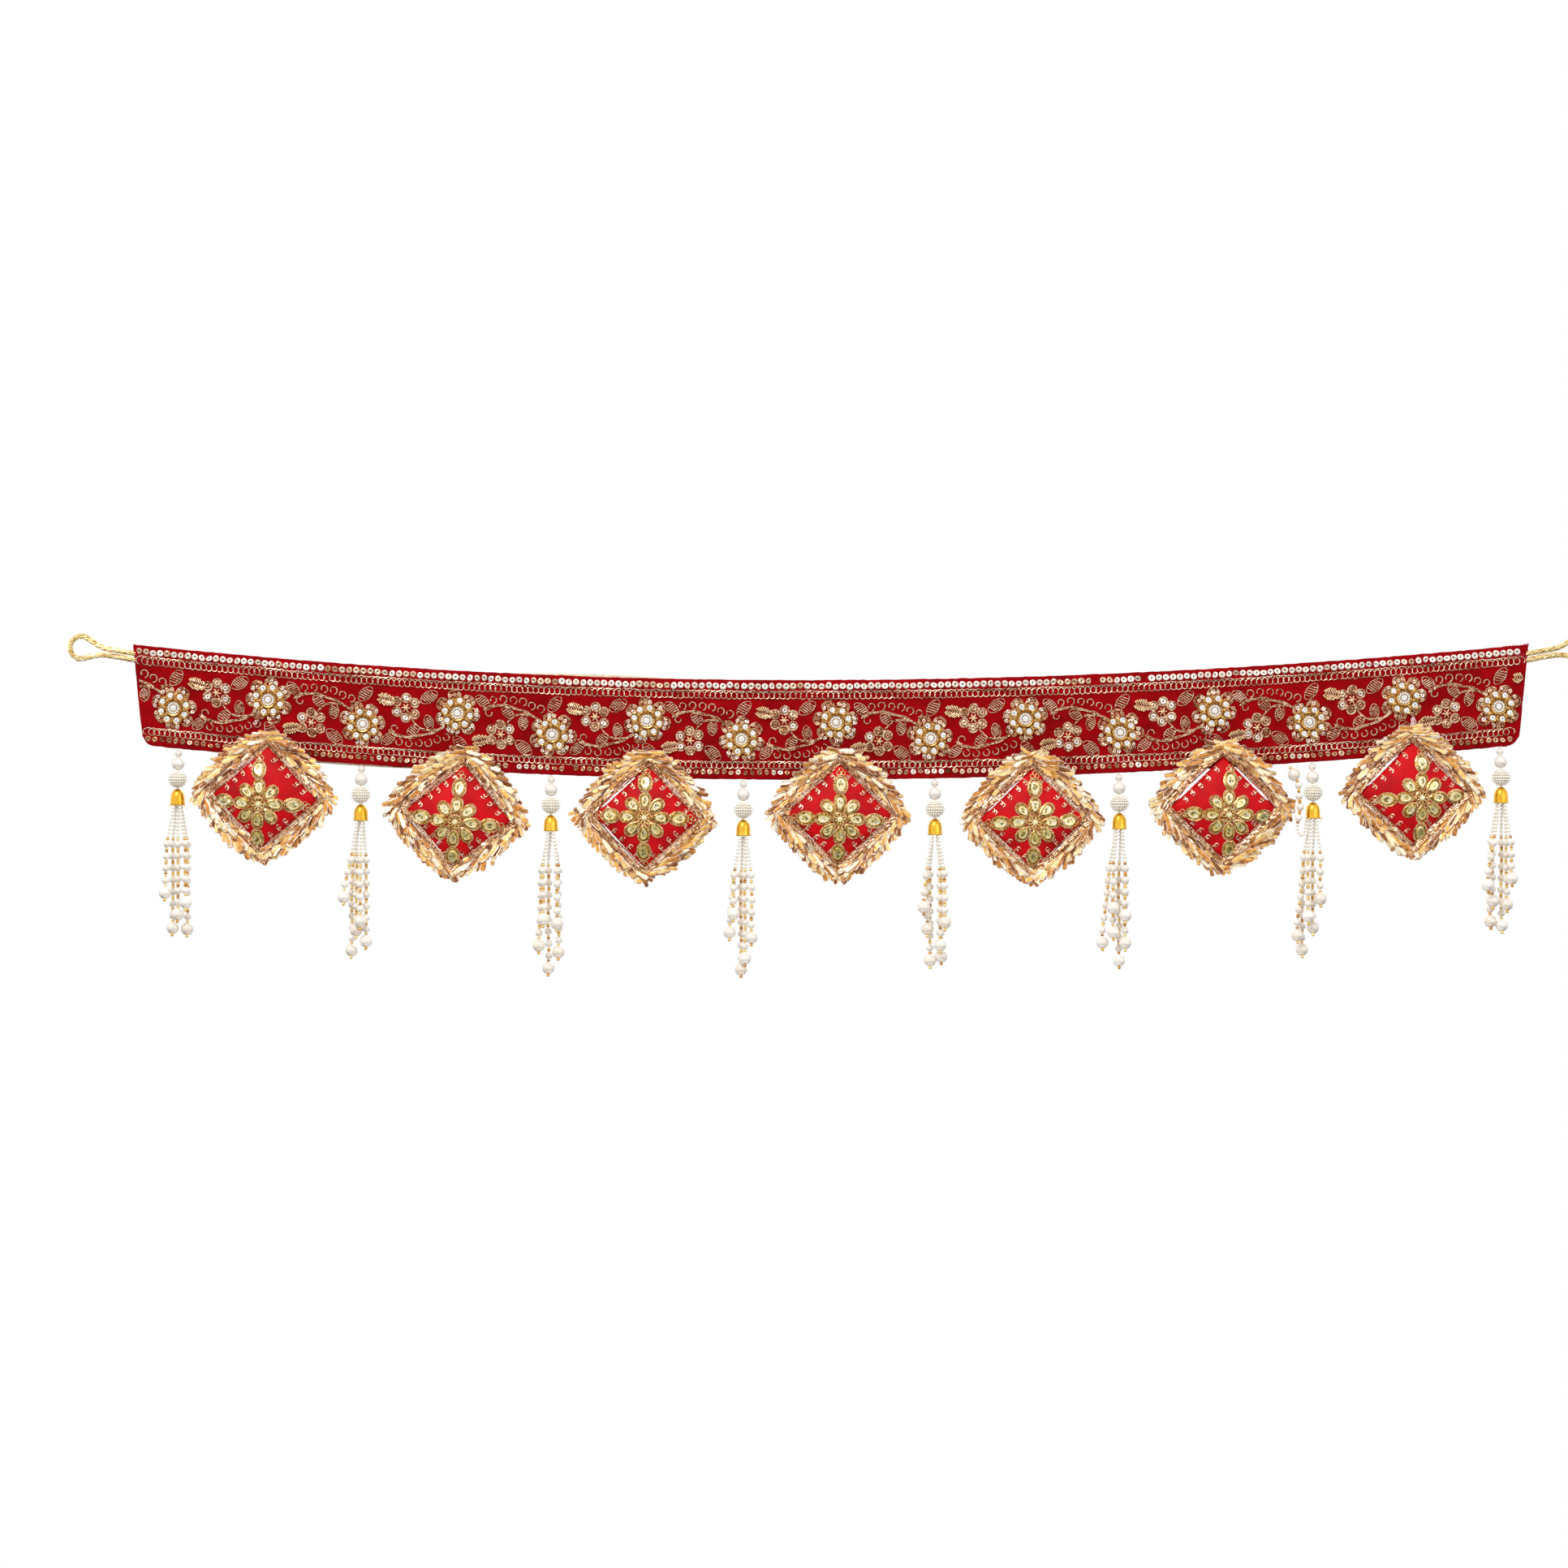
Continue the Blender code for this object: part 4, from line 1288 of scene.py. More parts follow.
def make_flowers():
    plate = scalloped_plate()
    collar = turned(((2.0, 0), (2.75, 0), (2.8, 1.3), (2.45, 1.9), (2.15, 1.75), (2.0, 0)), 12)
    big_collar = turned(((4.2, 0), (5.4, 0), (5.5, 1.6), (5.15, 2.3), (4.5, 2.1), (4.2, 0)), 24)
    stone = faceted(8, 0.62, 0.5)
    grain_bead = ball(6, 4)
    for number in range(FLOWER_COUNT):
        rng = random.Random(100 + number)
        x, below = flower_place(number)
        spin = rng.uniform(-12, 12)
        base = facing(on_band(x, below, 0.3), (0, -1, 0), (1, 0, 0))
        base = base @ Matrix.Rotation(math.radians(spin), 4, "Z")
        work = Work(f"jewel_flower_{number + 1}")
        work.lay(plate, SETTING, [base])
        ring = [base @ place for place in round_about(PLATE_STONES, PLATE_STONES_AT, 0.9, 0.5)]
        work.lay(collar, SETTING, ring)
        stones = [place @ Matrix.Translation((0, 0, 1.1)) @ sized(PLATE_STONE) for place in ring]
        # Each facet's tone is a painted reflection in the stone.
        work.lay(stone, CLEAR, stones, painted_facet_reflections(rng, stone, stones, 0.15, 1.0))
        middle = base @ Matrix.Translation((0, 0, 1.3))
        work.lay(big_collar, SETTING, [middle])
        small = [
            middle @ place @ sized(0.85, 0.85, 0.7)
            for place in round_about(SMALL_STONES, SMALL_STONES_AT, 1.6)
        ]
        work.lay(stone, CLEAR, small, painted_facet_reflections(rng, stone, small, 0.3, 1.0))
        heart = [middle @ Matrix.Translation((0, 0, 1.7)) @ sized(2.2, 2.2, 1.8)]
        work.lay(stone, CLEAR, heart, painted_facet_reflections(rng, stone, heart, 0.3, 0.9))
        claws = [base @ place @ sized(0.55) for place in round_about(PLATE_STONES, 8.9, 2.0)]
        work.lay(grain_bead, SETTING, claws)
        petals_round_flower(work, rng, x, below, spin)
        work.done((f"flower_{number + 1}",), 30)


def petals_round_flower(work, rng, x, below, spin):
    """Embroidered petals that show behind a plate, filled with small sequins."""
    outlines, sequins = [], []
    for lobe in range(LOBES):
        middle = math.tau * (lobe + 0.5) / LOBES + math.radians(spin * 2)
        reach = LOBE_REACH * rng.uniform(0.94, 1.05)
        spread = math.tau / LOBES * 0.48
        for inset in (0, 1.0):
            line = []
            for step in range(11):
                share = step / 10 * 2 - 1
                radius = LOBE_FOOT + (reach - inset - LOBE_FOOT) * (1 - abs(share) ** 3.2)
                turn = middle + spread * (1 - inset * 0.14) * share
                line.append(
                    on_band(x + radius * math.cos(turn), below - radius * math.sin(turn), 0.4)
                )
            outlines.append(line)
        for count, radius in ((3, 12.6), (1, 10.6)):
            for seat in range(count):
                turn = middle + (seat - (count - 1) / 2) * 0.25
                at = on_band(x + radius * math.cos(turn), below - radius * math.sin(turn), 0.5)
                out = Vector((rng.gauss(0, 0.25), -1, rng.gauss(0, 0.25)))
                sequins.append(facing(at, out, (1, 0, 0)) @ sized(1.45))
    work.lay(thread(outlines, PETAL_THREAD, 4), ROSE_THREAD, tones=0.55)
    tones = [rng.choice((0.35, 0.5, 0.7, 0.85, 0.95)) for _ in sequins]
    work.lay(sequin(), SEQUIN, sequins, tones)


# Pads

def pad_shape(crown, back_crown, segments):
    """A four-cornered cushion, its sides drawn in between its corners."""
    bm = bmesh.new()
    bmesh.ops.create_grid(bm, x_segments=segments, y_segments=segments, size=1)
    back = bmesh.ops.extrude_face_region(bm, geom=list(bm.faces))
    behind = {v for v in back["geom"] if isinstance(v, bmesh.types.BMVert)}
    for vert in bm.verts:
        u = math.sin(vert.co.x * math.pi / 2)
        v = math.sin(vert.co.y * math.pi / 2)
        swell = math.sqrt(max(0, (1 - u * u) * (1 - v * v)))
        drawn_u = u * (1 - PAD_DRAW_IN * (1 - v * v))
        drawn_v = v * (1 - PAD_DRAW_IN * (1 - u * u))
        depth = PAD_SEAM + back_crown * swell if vert in behind else -PAD_SEAM - crown * swell
        x = (drawn_u - drawn_v) / 2 * PAD_ACROSS
        vert.co = (x, depth, (drawn_u + drawn_v) / 2 * PAD_UP)
    return shape_of(bm)


def puffed(mesh):
    """The pad filled: swollen by pressure from a slightly slack shape."""
    shell = bpy.data.objects.new("pad_shell", mesh)
    mesh.transform(sized(MM * PAD_SLACK))
    bpy.context.scene.collection.objects.link(shell)
    remesh = shell.modifiers.new("remesh", "REMESH")
    remesh.mode = "VOXEL"
    remesh.voxel_size = PAD_MESH * MM
    depsgraph = bpy.context.evaluated_depsgraph_get()
    skin = bpy.data.meshes.new_from_object(shell.evaluated_get(depsgraph))
    shell.modifiers.clear()
    shell.data = skin
    before = [vert.co.copy() for vert in skin.vertices]
    cloth = shell.modifiers.new("filling", "CLOTH")
    cloth.settings.use_pressure = True
    cloth.settings.uniform_pressure_force = PAD_PRESSURE
    cloth.settings.effector_weights.gravity = 0
    cloth.settings.mass = 0.1
    cloth.point_cache.frame_start = 1
    cloth.point_cache.frame_end = PAD_STEPS
    for step in range(PAD_STEPS):
        bpy.context.scene.frame_set(step + 1)
    depsgraph = bpy.context.evaluated_depsgraph_get()
    filled = bpy.data.meshes.new_from_object(shell.evaluated_get(depsgraph))
    bpy.context.scene.frame_set(1)
    for vert, start in zip(filled.vertices, before):
        moved = vert.co - start
        if moved.length > PAD_CAP * MM:
            vert.co = start + moved.normalized() * PAD_CAP * MM
    bpy.data.objects.remove(shell)
    spots = read(filled.vertices, "co", 3)
    across, _, up = map(float, spots.max(axis=0) - spots.min(axis=0))
    filled.transform(sized(2 * PAD_ACROSS / across, PAD_DEPTH_REGAINED / MM, 2 * PAD_UP / up))
    return filled


def puckered(mesh):
    """One subdivision, and the small tucks that the frill's stitches pull along each side."""
    bm = bmesh.new()
    bm.from_mesh(mesh)
    bmesh.ops.smooth_vert(
        bm, verts=bm.verts, factor=0.5, use_axis_x=True, use_axis_y=True, use_axis_z=True
    )
    bmesh.ops.subdivide_edges(bm, edges=bm.edges, cuts=1, use_grid_fill=True, smooth=0.4)
    for vert in bm.verts:
        u = vert.co.x / PAD_ACROSS + vert.co.z / PAD_UP
        v = vert.co.z / PAD_UP - vert.co.x / PAD_ACROSS
        nearest = max(abs(u), abs(v))
        along = v if abs(u) > abs(v) else u
        near = max(0, (nearest - 0.62) / 0.38) ** 1.5 * (1 - along * along)
        tuck = math.sin(along * 21 + 2 * math.sin(along * 6)) * near * 0.55
        vert.co.y += tuck if vert.co.y < 0 else -tuck
        vert.co.y += 0.35 * noise.noise((vert.co.x * 0.09, vert.co.z * 0.09, 3.0)) * (1 - nearest)
    return shape_of(bm)


class Cushion:
    """The filled pad, and where its front lies."""

    def __init__(self):
        shape = pad_shape(PAD_CROWN * 0.94, PAD_BACK_CROWN * 0.94, 26)
        shape = puffed(shape)
        self.mesh = puckered(shape)
        bm = bmesh.new()
        bm.from_mesh(self.mesh)
        self.tree = BVHTree.FromBMesh(bm)
        bm.free()

    def front(self, x, z, out=0.0):
        """The point on the pad's front there, kept off its edge, and the way that it faces."""
        edge = max(0.01, abs(x) / PAD_ACROSS + abs(z) / PAD_UP)
        x *= min(1, PAD_KEEP_INSIDE / edge)
        z *= min(1, PAD_KEEP_INSIDE / edge)
        spot, normal, _, _ = self.tree.ray_cast(Vector((x, -60, z)), Vector((0, 1, 0)))
        if spot is None:
            return Vector((x, -PAD_SEAM - out, z)), Vector((0, -1, 0))
        if normal.y > 0:
            normal = -normal
        return spot + normal * out, normal


def seam_plane(x, z):
    """Where a pad's seams lie, its back just in front of the band's lower edge."""
    above = top_edge(x) - BAND_HEIGHT - z
    swell = 1 - (above / PAD_UP) ** 2
    return BAND_FRONT - PAD_REST - PAD_SEAM - PAD_BACK_CROWN * swell


def pad_place(row):
    x, z, lean = row[:3]
    return Matrix.Translation((x, seam_plane(x, z), z)) @ Matrix.Rotation(math.radians(lean), 4, "Y")


# The frills of folded ribbon

def diamond_radius(angle, across, up, roundness):
    flat = abs(math.cos(angle) / across) ** roundness
    tall = abs(math.sin(angle) / up) ** roundness
    return (flat + tall) ** (-1 / roundness)


def frill_point(angle, share, reach):
    """A point in a frill: share 0 at the pad's edge and 1 at the frill's rim."""
    left, right, up, down = reach
    across = right if math.cos(angle) > 0 else left
    tall, roundness = (up, FRILL_ROUND_ABOVE) if math.sin(angle) > 0 else (down, FRILL_ROUND_BELOW)
    inner = diamond_radius(angle, PAD_ACROSS, PAD_UP, 1) + 0.6
    rim = diamond_radius(angle, across, tall, roundness)
    radius = inner + (rim - inner) * share
    return Vector((radius * math.cos(angle), 0, radius * math.sin(angle)))


def ribbon_leaf():
    """A short folded length of ribbon, arched across and rounded at its tip."""
    bm = bmesh.new()
    bmesh.ops.create_grid(bm, x_segments=4, y_segments=2, size=1)
    for vert in bm.verts:
        along = (vert.co.x + 1) / 2
        half = (0.7, 0.92, 1.0, 1.04, 0.86)[round(along * 4)]
        arch = 0.22 * (1 - vert.co.y**2) * (1 - 0.4 * along) + 0.12 * math.sin(along * math.pi)
        vert.co = (along, vert.co.y * half * 0.5, arch)
    back = bmesh.ops.extrude_face_region(bm, geom=list(bm.faces))
    moved = [v for v in back["geom"] if isinstance(v, bmesh.types.BMVert)]
    bmesh.ops.translate(bm, verts=moved, vec=(0, 0, -0.13))
    return shape_of(bm)


# The thread round a ribbon leaf's edge, for a leaf of length and width 1
RIBBON_EDGE = (
    (0, 0.37, 0.03), (0.45, 0.54, 0.14), (0.96, 0.52, 0.07), (1.05, 0.0, 0.05),
    (0.96, -0.52, 0.07), (0.45, -0.54, 0.14), (0, -0.37, 0.03),
)


def leaf_places(rng, reach, side, upwards):
    """Where the ribbon leaves go along one half of a frill, from its top to its foot.

    Leaves on the lower side point back up it where upwards is true."""
    places = []
    middle = [frill_point(math.radians(90 - side * 180 * n / 90), 0.5, reach) for n in range(91)]
    steps, _ = even_points(middle, RIBBON_STEP)
    front = Vector((0, -1, 0))
    for number, point in enumerate(steps):
        angle = math.atan2(point.z, point.x)
        before = steps[max(number - 1, 0)]
        after = steps[min(number + 1, len(steps) - 1)]
        ahead = (after - before).normalized()
        if upwards and point.z < -4:
            ahead = -ahead
        outward = front.cross(ahead)
        if outward.dot(point) < 0:
            outward = -outward
        last = number > len(steps) - 4
        for share, splay, depth, length in LEAF_ROWS:
            if last:
                length *= LAST_LEAVES
            turn = math.radians(splay + rng.gauss(0, 8))
            way = ahead * math.cos(turn) + outward * math.sin(turn)
            tilt = math.radians(9 + rng.gauss(0, 4))
            along = way * math.cos(tilt) + front * math.sin(tilt)
            up = front * math.cos(tilt) - way * math.sin(tilt)
            root = frill_point(angle, share + rng.uniform(-0.06, 0.06), reach)
            root += front * (-depth + rng.uniform(-0.4, 0.4)) - way * 2.5
            size = rng.uniform(0.82, 1.06)
            wide = rng.uniform(*LEAF_WIDTHS)
            roll = Matrix.Rotation(math.radians(rng.gauss(0, 14)), 4, "X")
            places.append(facing(root, up, along) @ roll @ sized(length * size, wide, wide * 1.15))
    return places


def gathered_base(reach):
    """The gathered strip behind the leaves."""
    bm = bmesh.new()
    section = ((0.08, 0.4), (0.4, -0.9), (0.74, 0.0), (0.74, 0.6), (0.4, 1.0), (0.08, 1.0))
    verts = [bm.verts.new((1 + share, depth, 0)) for share, depth in section]
    edges = [bm.edges.new(pair) for pair in zip(verts, verts[1:] + verts[:1])]
    bmesh.ops.spin(
        bm,
        geom=verts + edges,
        cent=(0, 0, 0),
        axis=(0, 1, 0),
        angle=math.tau,
        steps=96,
        use_merge=True,
    )
    bmesh.ops.remove_doubles(bm, verts=bm.verts, dist=0.01)
    for vert in bm.verts:
        share = math.hypot(vert.co.x, vert.co.z) - 1
        angle = math.atan2(vert.co.z, vert.co.x)
        spot = frill_point(angle, share * (0.96 + 0.05 * math.sin(angle * 31)), reach)
        gather = 0.45 * math.sin(angle * 48) * share
        vert.co = (spot.x, vert.co.y + gather, spot.z)
    return shape_of(bm)


# Sides where the frill stands a little off its pad: 0 upper right, 1 lower right, and so on
SLITS = {3: {3: 2.2, 2: 1.6}, 5: {3: 1.8}, 6: {3: 3.0, 0: 2.2}, 7: {3: 2.4}}


def heading_cords(rng, reach, slits):
    """Wound cords that run along the pad's four sides."""
    strands = []
    corners = ((0, 0, PAD_UP), (PAD_ACROSS, 0, 0), (0, 0, -PAD_UP), (-PAD_ACROSS, 0, 0))
    for corner in range(4):
        start, end = Vector(corners[corner]), Vector(corners[(corner + 1) % 4])
        outward = (start + end).normalized()
        slit = slits.get(corner, 0)
        for cord, (away, depth) in enumerate(HEADING_CORDS):
            line = []
            for step in range(27):
                share = step / 26
                bow = 1 - (2 * share - 1) ** 2
                draw = -PAD_DRAW_IN * 26 * bow + slit * bow
                wander = 0.5 * noise.noise((share * 5, corner * 3.1, cord * 7.7 + reach[0]))
                spot = start.lerp(end, share) + outward * (away + draw + wander)
                line.append(spot + Vector((0, depth + 0.4 * math.sin(share * 14 + cord), 0)))
            strands += wound(line, 0.36, 3.4, 2, rng.uniform(0, 6))
    return strands


def make_frill(number, row, place):
    rng = random.Random(300 + number)
    reach = row[5:]
    work = Work(f"ribbon_frill_{number}")
    # The strip behind is real, and its low tone also stands as painted shade in the gaps between the
    # leaves.
    work.lay(gathered_base(reach), COPPER_THREAD, [place], 0.25)
    places = []
    for side in (1, -1):
        upwards = side == 1 and number in (3, 6)
        places += [place @ leaf for leaf in leaf_places(rng, reach, side, upwards)]
    # The leaf tones differ at random and stand for light and shade: dark leaves are painted shade, pale
    # ones painted highlights.
    tones = [rng.choice((0.05, 0.25, 0.45, 0.7, 0.95)) + rng.uniform(-0.1, 0.1) for _ in places]
    work.lay(ribbon_leaf(), RIBBON, places, tones)
    edges = [[leaf @ Vector(point) for point in RIBBON_EDGE] for leaf in places]
    work.lay(thread(edges, LEAF_EDGE_THREAD, 4), EDGE_THREAD, tones=0.7)
    strands = heading_cords(rng, reach, SLITS.get(number, {}))
    cords = [[place @ point for point in strand] for strand in strands]
    work.lay(thread(cords, HEADING_THREAD, 4), COPPER_THREAD, tones=0.75)
    work.done((f"frill_{number}",), 65)


# The stones on the pads

def drop_outline(length, width, point_share, count=18):
    """A drop's outline: blunt at the far end, and narrower where point_share is larger."""
    outline = []
    for step in range(count):
        turn = math.tau * step / count
        along = math.cos(turn)
        aside = math.sin(turn) * ((1 + along) / 2 * point_share + 1 - point_share)
        outline.append(Vector((along * length / 2, aside * width / 2, 0)))
    return outline


def drop_stone(length, width, point_share, height):
    """A cut stone with a drop's outline."""
    mesh = faceted(12, 0.74, 1)
    for vert in mesh.vertices:
        narrow = (1 + vert.co.x) / 2 * point_share + 1 - point_share
        vert.co.x *= length / 2
        vert.co.y *= narrow * width / 2 * 1.05
        vert.co.z *= height
    return mesh


def on_pad(cushion, x, z, angle, out):
    """Places a flat shape on the pad, its own X pointing at that angle round the middle."""
    spot, normal = cushion.front(x, z, out)
    return facing(spot, normal, (math.cos(angle), 0, math.sin(angle)))


def rimmed(work, rng, place, stone, outline, angle):
    """A stone and the two threads couched round it. The lower stones catch less light."""
    bright = 0.86 + 0.14 * math.sin(angle)
    work.lay(stone, OLIVE, [place], painted_facet_reflections(rng, stone, [place], 0.08, bright))
    for grow, rise in RIM_THREADS:
        ring = [place @ Vector((point.x * grow, point.y * grow, rise)) for point in outline]
        work.lay(thread([ring], RIM_THREAD, 4, closed=True), GOLD_THREAD, tones=0.6 - 0.2 * rise)


def make_stones(number, row, place, cushion):
    rng = random.Random(500 + number)
    middle_x, middle_z = row[3], row[4]
    work = Work(f"kundan_stones_{number}")
    petal = drop_stone(*PETAL_STONE, STONE_HEIGHT)
    petal_ring = drop_outline(*PETAL_STONE)
    leaf = drop_stone(*LEAF_STONE, STONE_HEIGHT)
    leaf_ring = drop_outline(*LEAF_STONE)

    def seat(far, angle):
        x = middle_x + far * math.cos(angle)
        z = middle_z + far * math.sin(angle)
        return place @ on_pad(cushion, x, z, angle, 0.2)

    for step in range(PETAL_STONES):
        angle = math.tau * step / PETAL_STONES
        rimmed(work, rng, seat(PETAL_STONES_AT, angle), petal, petal_ring, angle)
    loops, curls = [], []
    for step in range(LEAF_STONES):
        angle = math.tau * step / LEAF_STONES + rng.uniform(-0.05, 0.05)
        rimmed(work, rng, seat(LEAF_STONES_AT, angle), leaf, leaf_ring, angle)
        trefoil(loops, cushion, middle_x, middle_z, angle)
    centre = turned(((0, 1.5), (1.3, 1.35), (2.05, 0.6), (2.1, 0), (0, 0)), 10)
    heart = place @ on_pad(cushion, middle_x, middle_z, 0, 0.3)
    work.lay(centre, OLIVE, [heart], 0.75)
    beads = [heart @ place @ sized(0.85) for place in round_about(CENTRE_BEADS, 2.8, 0.5)]
    work.lay(ball(8, 5), GOLD_THREAD, beads, 0.6)
    rings = [
        [heart @ spot.translation for spot in round_about(24, radius, rise)]
        for radius, rise in CENTRE_RINGS
    ]
    work.lay(thread(rings, RING_THREAD, 4, closed=True), GOLD_THREAD, tones=0.5)
    side_curls(curls, rng, cushion)
    laid = [[place @ point for point in loop] for loop in loops]
    work.lay(thread(laid, PETAL_THREAD, 4), GOLD_THREAD, tones=0.6)
    laid = [[place @ point for point in curl] for curl in curls]
    work.lay(thread(laid, HOOK_THREAD, 4), ROSE_THREAD, tones=0.7)
    work.done((f"stones_{number}",), 25)


def trefoil(loops, cushion, middle_x, middle_z, angle):
    """Three small thread loops beyond a leaf stone."""
    cos, sin = math.cos(angle), math.sin(angle)
    for far, aside in TREFOIL:
        loop = []
        for step in range(10):
            turn = math.tau * step / 9
            along = far + TREFOIL_LOOP * math.cos(turn)
            across = aside + TREFOIL_LOOP * math.sin(turn)
            x = middle_x + along * cos - across * sin
            z = middle_z + along * sin + across * cos
            loop.append(cushion.front(x, z, 0.3)[0])
        loops.append(loop)


def side_curls(curls, rng, cushion):
    """Small hooked curls in a row inside each side of the pad."""
    corners = ((0, PAD_UP), (PAD_ACROSS, 0), (0, -PAD_UP), (-PAD_ACROSS, 0))
    for corner in range(4):
        start, end = Vector(corners[corner]), Vector(corners[(corner + 1) % 4])
        along = (end - start).normalized()
        inward = -(start + end).normalized()
        for hook in range(HOOKS_A_SIDE):
            share = 0.22 + 0.14 * hook + rng.uniform(-0.012, 0.012)
            base = start.lerp(end, share) + inward * 1.6
            curl = []
            for step in range(17):
                part = step / 16
                turn = math.radians(-90 + 620 * part)
                far = 1.0 + 3.0 * part
                spot = base + inward * (far + 0.85 * math.sin(turn)) + along * (1.05 * math.cos(turn))
                curl.append(cushion.front(spot.x, spot.y, 0.3)[0])
            curls.append(curl)


def make_pads():
    cushion = Cushion()
    for number, row in enumerate(PADS, start=1):
        place = pad_place(row)
        work = Work(f"satin_pad_{number}")
        work.lay(cushion.mesh, SATIN, [place])
        pad = work.done((f"pad_{number}",), 80)
        make_frill(number, row, place)
        make_stones(number, row, place, cushion)


def stitch_tufts():
    """Loose ends of the thread that holds some pads to the band."""
    rng = random.Random(77)
    work = Work("stitch_tufts")
    strands = []
    for x, below, tall, count in ((390.6, 49, 8, 9), (8, 56, 5, 6), (-385.5, 46, 3, 4)):
        for _ in range(count):
            foot = on_band(x + rng.uniform(-2, 2), below, 3.6)
            head = on_band(x + rng.uniform(-1.2, 1.2), below - tall * rng.uniform(0.7, 1.1), 1.2)
            middle = (foot + head) / 2 + Vector((rng.uniform(-1, 1), -1.0, 0))
            strands.append(smooth_points((foot, middle, head), 5))
    work.lay(thread(strands, 0.22, 4), PINK_THREAD)
    return work.done()


# Bead drops and tassels

def make_drop(number, x):
    """Two pearls and a ball of seed beads on the thread that holds a tassel's cap."""
    edge = top_edge(x) - BAND_HEIGHT
    hang = Matrix.Translation((x, 0, edge))
    rng = random.Random(700 + number)
    work = Work(f"bead_drop_{number}")
    pearls = []
    for radius, height, below, depth in BEAD_STACK[:2]:
        pearls.append(hang @ Matrix.Translation((0, depth, -below)) @ sized(radius, radius, height))
    work.lay(ball(24, 16), PEARL, pearls, [0.4, 0.3])
    radius, height, below, depth = BEAD_STACK[2]
    core = hang @ Matrix.Translation((0, depth, -below))
    work.lay(ball(16, 10), SEED_PEARL, [core @ sized(radius - 1.1, radius - 1.1, height - 0.9)], 0.9)
    bead = 0.82
    beads = []
    rows = 9
    for row in range(rows):
        level = math.pi * (row + 0.5) / rows
        ring = (radius - bead * 0.8) * math.sin(level)
        up = (height - bead * 0.6) * math.cos(level)
        count = max(3, round(math.tau * ring / (bead * 2.02)))
        for seat in range(count):
            turn = math.tau * (seat + 0.5 * (row % 2)) / count
            at = Matrix.Translation((ring * math.cos(turn), ring * math.sin(turn), up))
            beads.append(core @ at @ sized(bead))
    work.lay(ball(8, 5), SEED_PEARL, beads, [rng.uniform(0.0, 0.5) for _ in beads])
    knots = ((-2.3, 0.3), (-3.0, 3.2), (-5.0, 10.0), (CAP_DEPTH, 20.4), (CAP_DEPTH, CAP_TOP + CAP_NECK))
    string = [Vector((x, depth, edge - down)) for depth, down in knots]
    work.lay(thread([string], 0.5, 6), CREAM_THREAD)
    work.done((f"beads_{number}",))


def bell_cap():
    """A thin bell, open below, with a rolled rim and a neck."""
    outside = (
        (1.1, 0.25), (1.7, 0.15), (2.5, -0.5), (3.5, -1.7), (4.25, -3.2), (4.65, -5.2),
        (4.75, -7.4), (4.8, -9.4), (5.0, -9.9), (4.98, -10.45), (4.7, -10.6),
    )
    inside = ((4.35, -10.2), (4.3, -7), (4.1, -4.6), (3.1, -2.1), (1.1, -0.6), (1.1, 0.25))
    return turned(outside + inside, 32)


def strand_route(row, root_x, sideways, drop):
    """From inside the cap, out to the strand's row, and straight down to its last pearl."""
    root_y = (row - 1) * ROOT_SPACING
    row_y = ROW_DEPTHS[row] - CAP_DEPTH
    fan_x = max(-FAN_LIMIT, min(FAN_LIMIT, sideways))
    return [
        Vector((root_x, root_y, 2)),
        Vector((fan_x, row_y, -SEED_LENGTH)),
        Vector((sideways, row_y, LAST_PEARL_RADIUS - drop)),
        Vector((sideways, row_y - 1.5, -drop)),
    ]


class Tassel:
    """The beads of one tassel, gathered strand by strand."""

    def __init__(self, number, hang):
        self.rng = random.Random(900 + number)
        self.hang = hang
        self.seeds = []
        self.pearls = []
        self.ambers = []
        self.lines = []

    def bead(self, kind, route, distance, wide, tall):
        point, direction = point_along(route, distance)
        across = Vector((0, 1, 0)) if abs(direction.y) < 0.9 else Vector((1, 0, 0))
        kind.append(self.hang @ facing(point, direction, across) @ sized(wide, wide, tall))

    def strand(self, route, pearls):
        total = sum((b - a).length for a, b in zip(route, route[1:]))
        self.lines.append([self.hang @ point for point in route])
        seeds = round(SEED_LENGTH / (2 * SEED_RADIUS))
        for seed in range(seeds):
            size = SEED_RADIUS * self.rng.uniform(0.93, 1.06)
            self.bead(self.seeds, route, SEED_LENGTH * (seed + 0.5) / seeds, size, size)
        pitch = (total - LAST_PEARL_RADIUS - SEED_LENGTH) / pearls
        for seat in range(pearls + 1):
            boundary = SEED_LENGTH + pitch * seat
            offsets = (0.68,) if seat == 0 else (-0.68,) if seat == pearls else (-0.68, 0.68)
            for offset in offsets:
                wide = 1.25 * self.rng.uniform(0.9, 1.08)
                self.bead(self.ambers, route, boundary + offset, wide, 0.72)
            if seat < pearls:
                self.bead(self.pearls, route, boundary + pitch / 2, PEARL_RADIUS, PEARL_RADIUS * 0.98)
        self.bead(self.pearls, route, total, LAST_PEARL_RADIUS, LAST_PEARL_RADIUS)
        self.bead(self.ambers, route, total + LAST_PEARL_RADIUS + 0.85, 1.15, 1.0)

    def tones(self, beads, low, high):
        return [self.rng.uniform(low, high) for _ in beads]


def swaying(rng, route, amount):
    """A route with a slight sway in its straight run."""
    points, _ = even_points(route, 4.0)
    swing = rng.uniform(-1, 1)
    phase = rng.uniform(0, 6)
    for number, point in enumerate(points[3:-2], start=3):
        wave = math.sin(number * 0.55 + phase)
        point.x += amount * swing * wave
        point.y += amount * 0.4 * math.cos(number * 0.5 + phase)
    return points


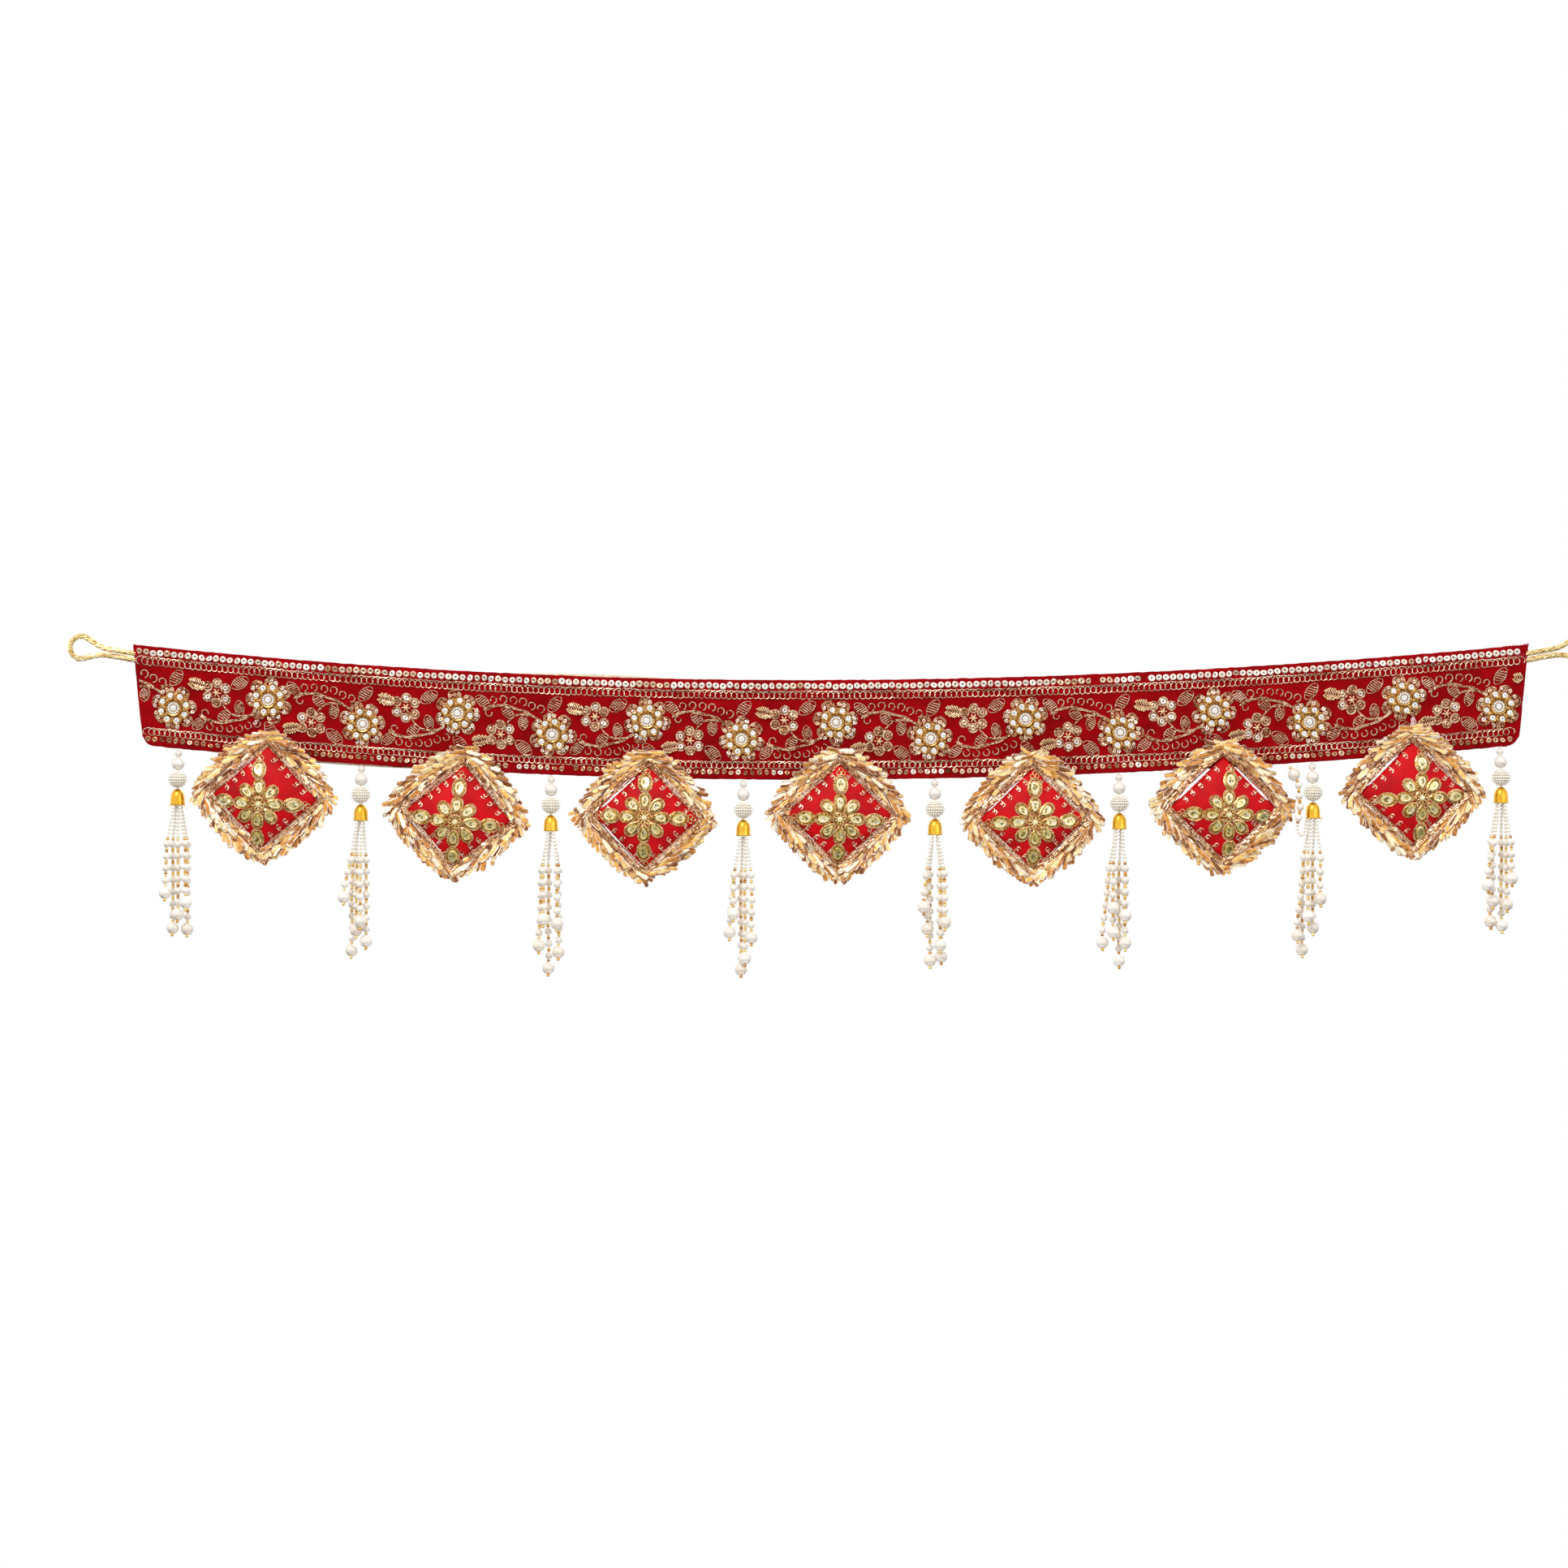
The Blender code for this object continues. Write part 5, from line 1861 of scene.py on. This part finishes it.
def make_tassel(number, x, rows):
    edge = top_edge(x) - BAND_HEIGHT
    top = Matrix.Translation((x, CAP_DEPTH, edge - CAP_TOP))
    hang = top @ Matrix.Translation((0, 0, -CAP_HEIGHT))
    tassel = Tassel(number, hang)
    for row, strands in enumerate(rows):
        for order, (sideways, drop) in enumerate(strands):
            root_x = (order - (len(strands) - 1) / 2) * ROOT_SPACING
            route = strand_route(row, root_x, sideways, drop)
            pearls = round((drop - SEED_LENGTH - LAST_PEARL_RADIUS) / PEARL_PITCH)
            tassel.strand(swaying(tassel.rng, route, 0.35), pearls)
    if number == STRAY_TASSEL:
        tassel.strand(smooth_points(STRAY_ROUTE, 31), STRAY_PEARLS)
    work = Work(f"pearl_tassel_{number}")
    work.lay(bell_cap(), CAP_GOLD, [top])
    work.lay(ball(8, 5), SEED_PEARL, tassel.seeds, tassel.tones(tassel.seeds, 0, 0.6))
    work.lay(ball(16, 10), PEARL, tassel.pearls, tassel.tones(tassel.pearls, 0, 0.7))
    amber = turned(((0, 0.85), (0.55, 1.0), (0.95, 0.55), (0.95, -0.55), (0.55, -1.0), (0, -0.85)), 8)
    work.lay(amber, AMBER, tassel.ambers, tassel.tones(tassel.ambers, 0.1, 1))
    work.lay(thread(tassel.lines, 0.3, 4), CREAM_THREAD)
    if number in (1, STRAY_TASSEL):
        loose_thread(work, tassel.rng, hang)
    work.done((f"tassel_{number}",), 60)


def loose_thread(work, rng, hang):
    """Ends of gold thread that stick out under a cap."""
    ends = []
    for side in (-1, 1):
        for _ in range(3):
            start = Vector((side * 3.5, -1.5, 0.5))
            middle = start + Vector((side * rng.uniform(1, 2.4), -1.2, rng.uniform(-2.4, 0.4)))
            end = middle + Vector((side * rng.uniform(-1, 1.6), -0.4, rng.uniform(-2.2, -0.5)))
            ends.append([hang @ point for point in smooth_points((start, middle, end), 7)])
    work.lay(thread(ends, 0.2, 4), GOLD_THREAD, tones=0.7)


# The hanging, made in order

make_camera()
make_surroundings()
for light_values in LIGHTS:
    make_light(*light_values)
make_floor()
make_tie("gold_tie_left", -1)
make_tie("gold_tie_right", 1)
velvet_band, back_lining = make_band()
stitched = [hem_stitches(), loose_fluff(), make_rows(), make_vine(), stitch_tufts()]
make_flowers()
make_pads()
for tassel_number, (tassel_x, tassel_rows) in enumerate(TASSELS, start=1):
    make_drop(tassel_number, tassel_x)
    make_tassel(tassel_number, tassel_x, tassel_rows)

boxes = {"cad": cad_box, "visual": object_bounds()}
sizes = {name: [list(map(float, corner)) for corner in box] for name, box in boxes.items()}
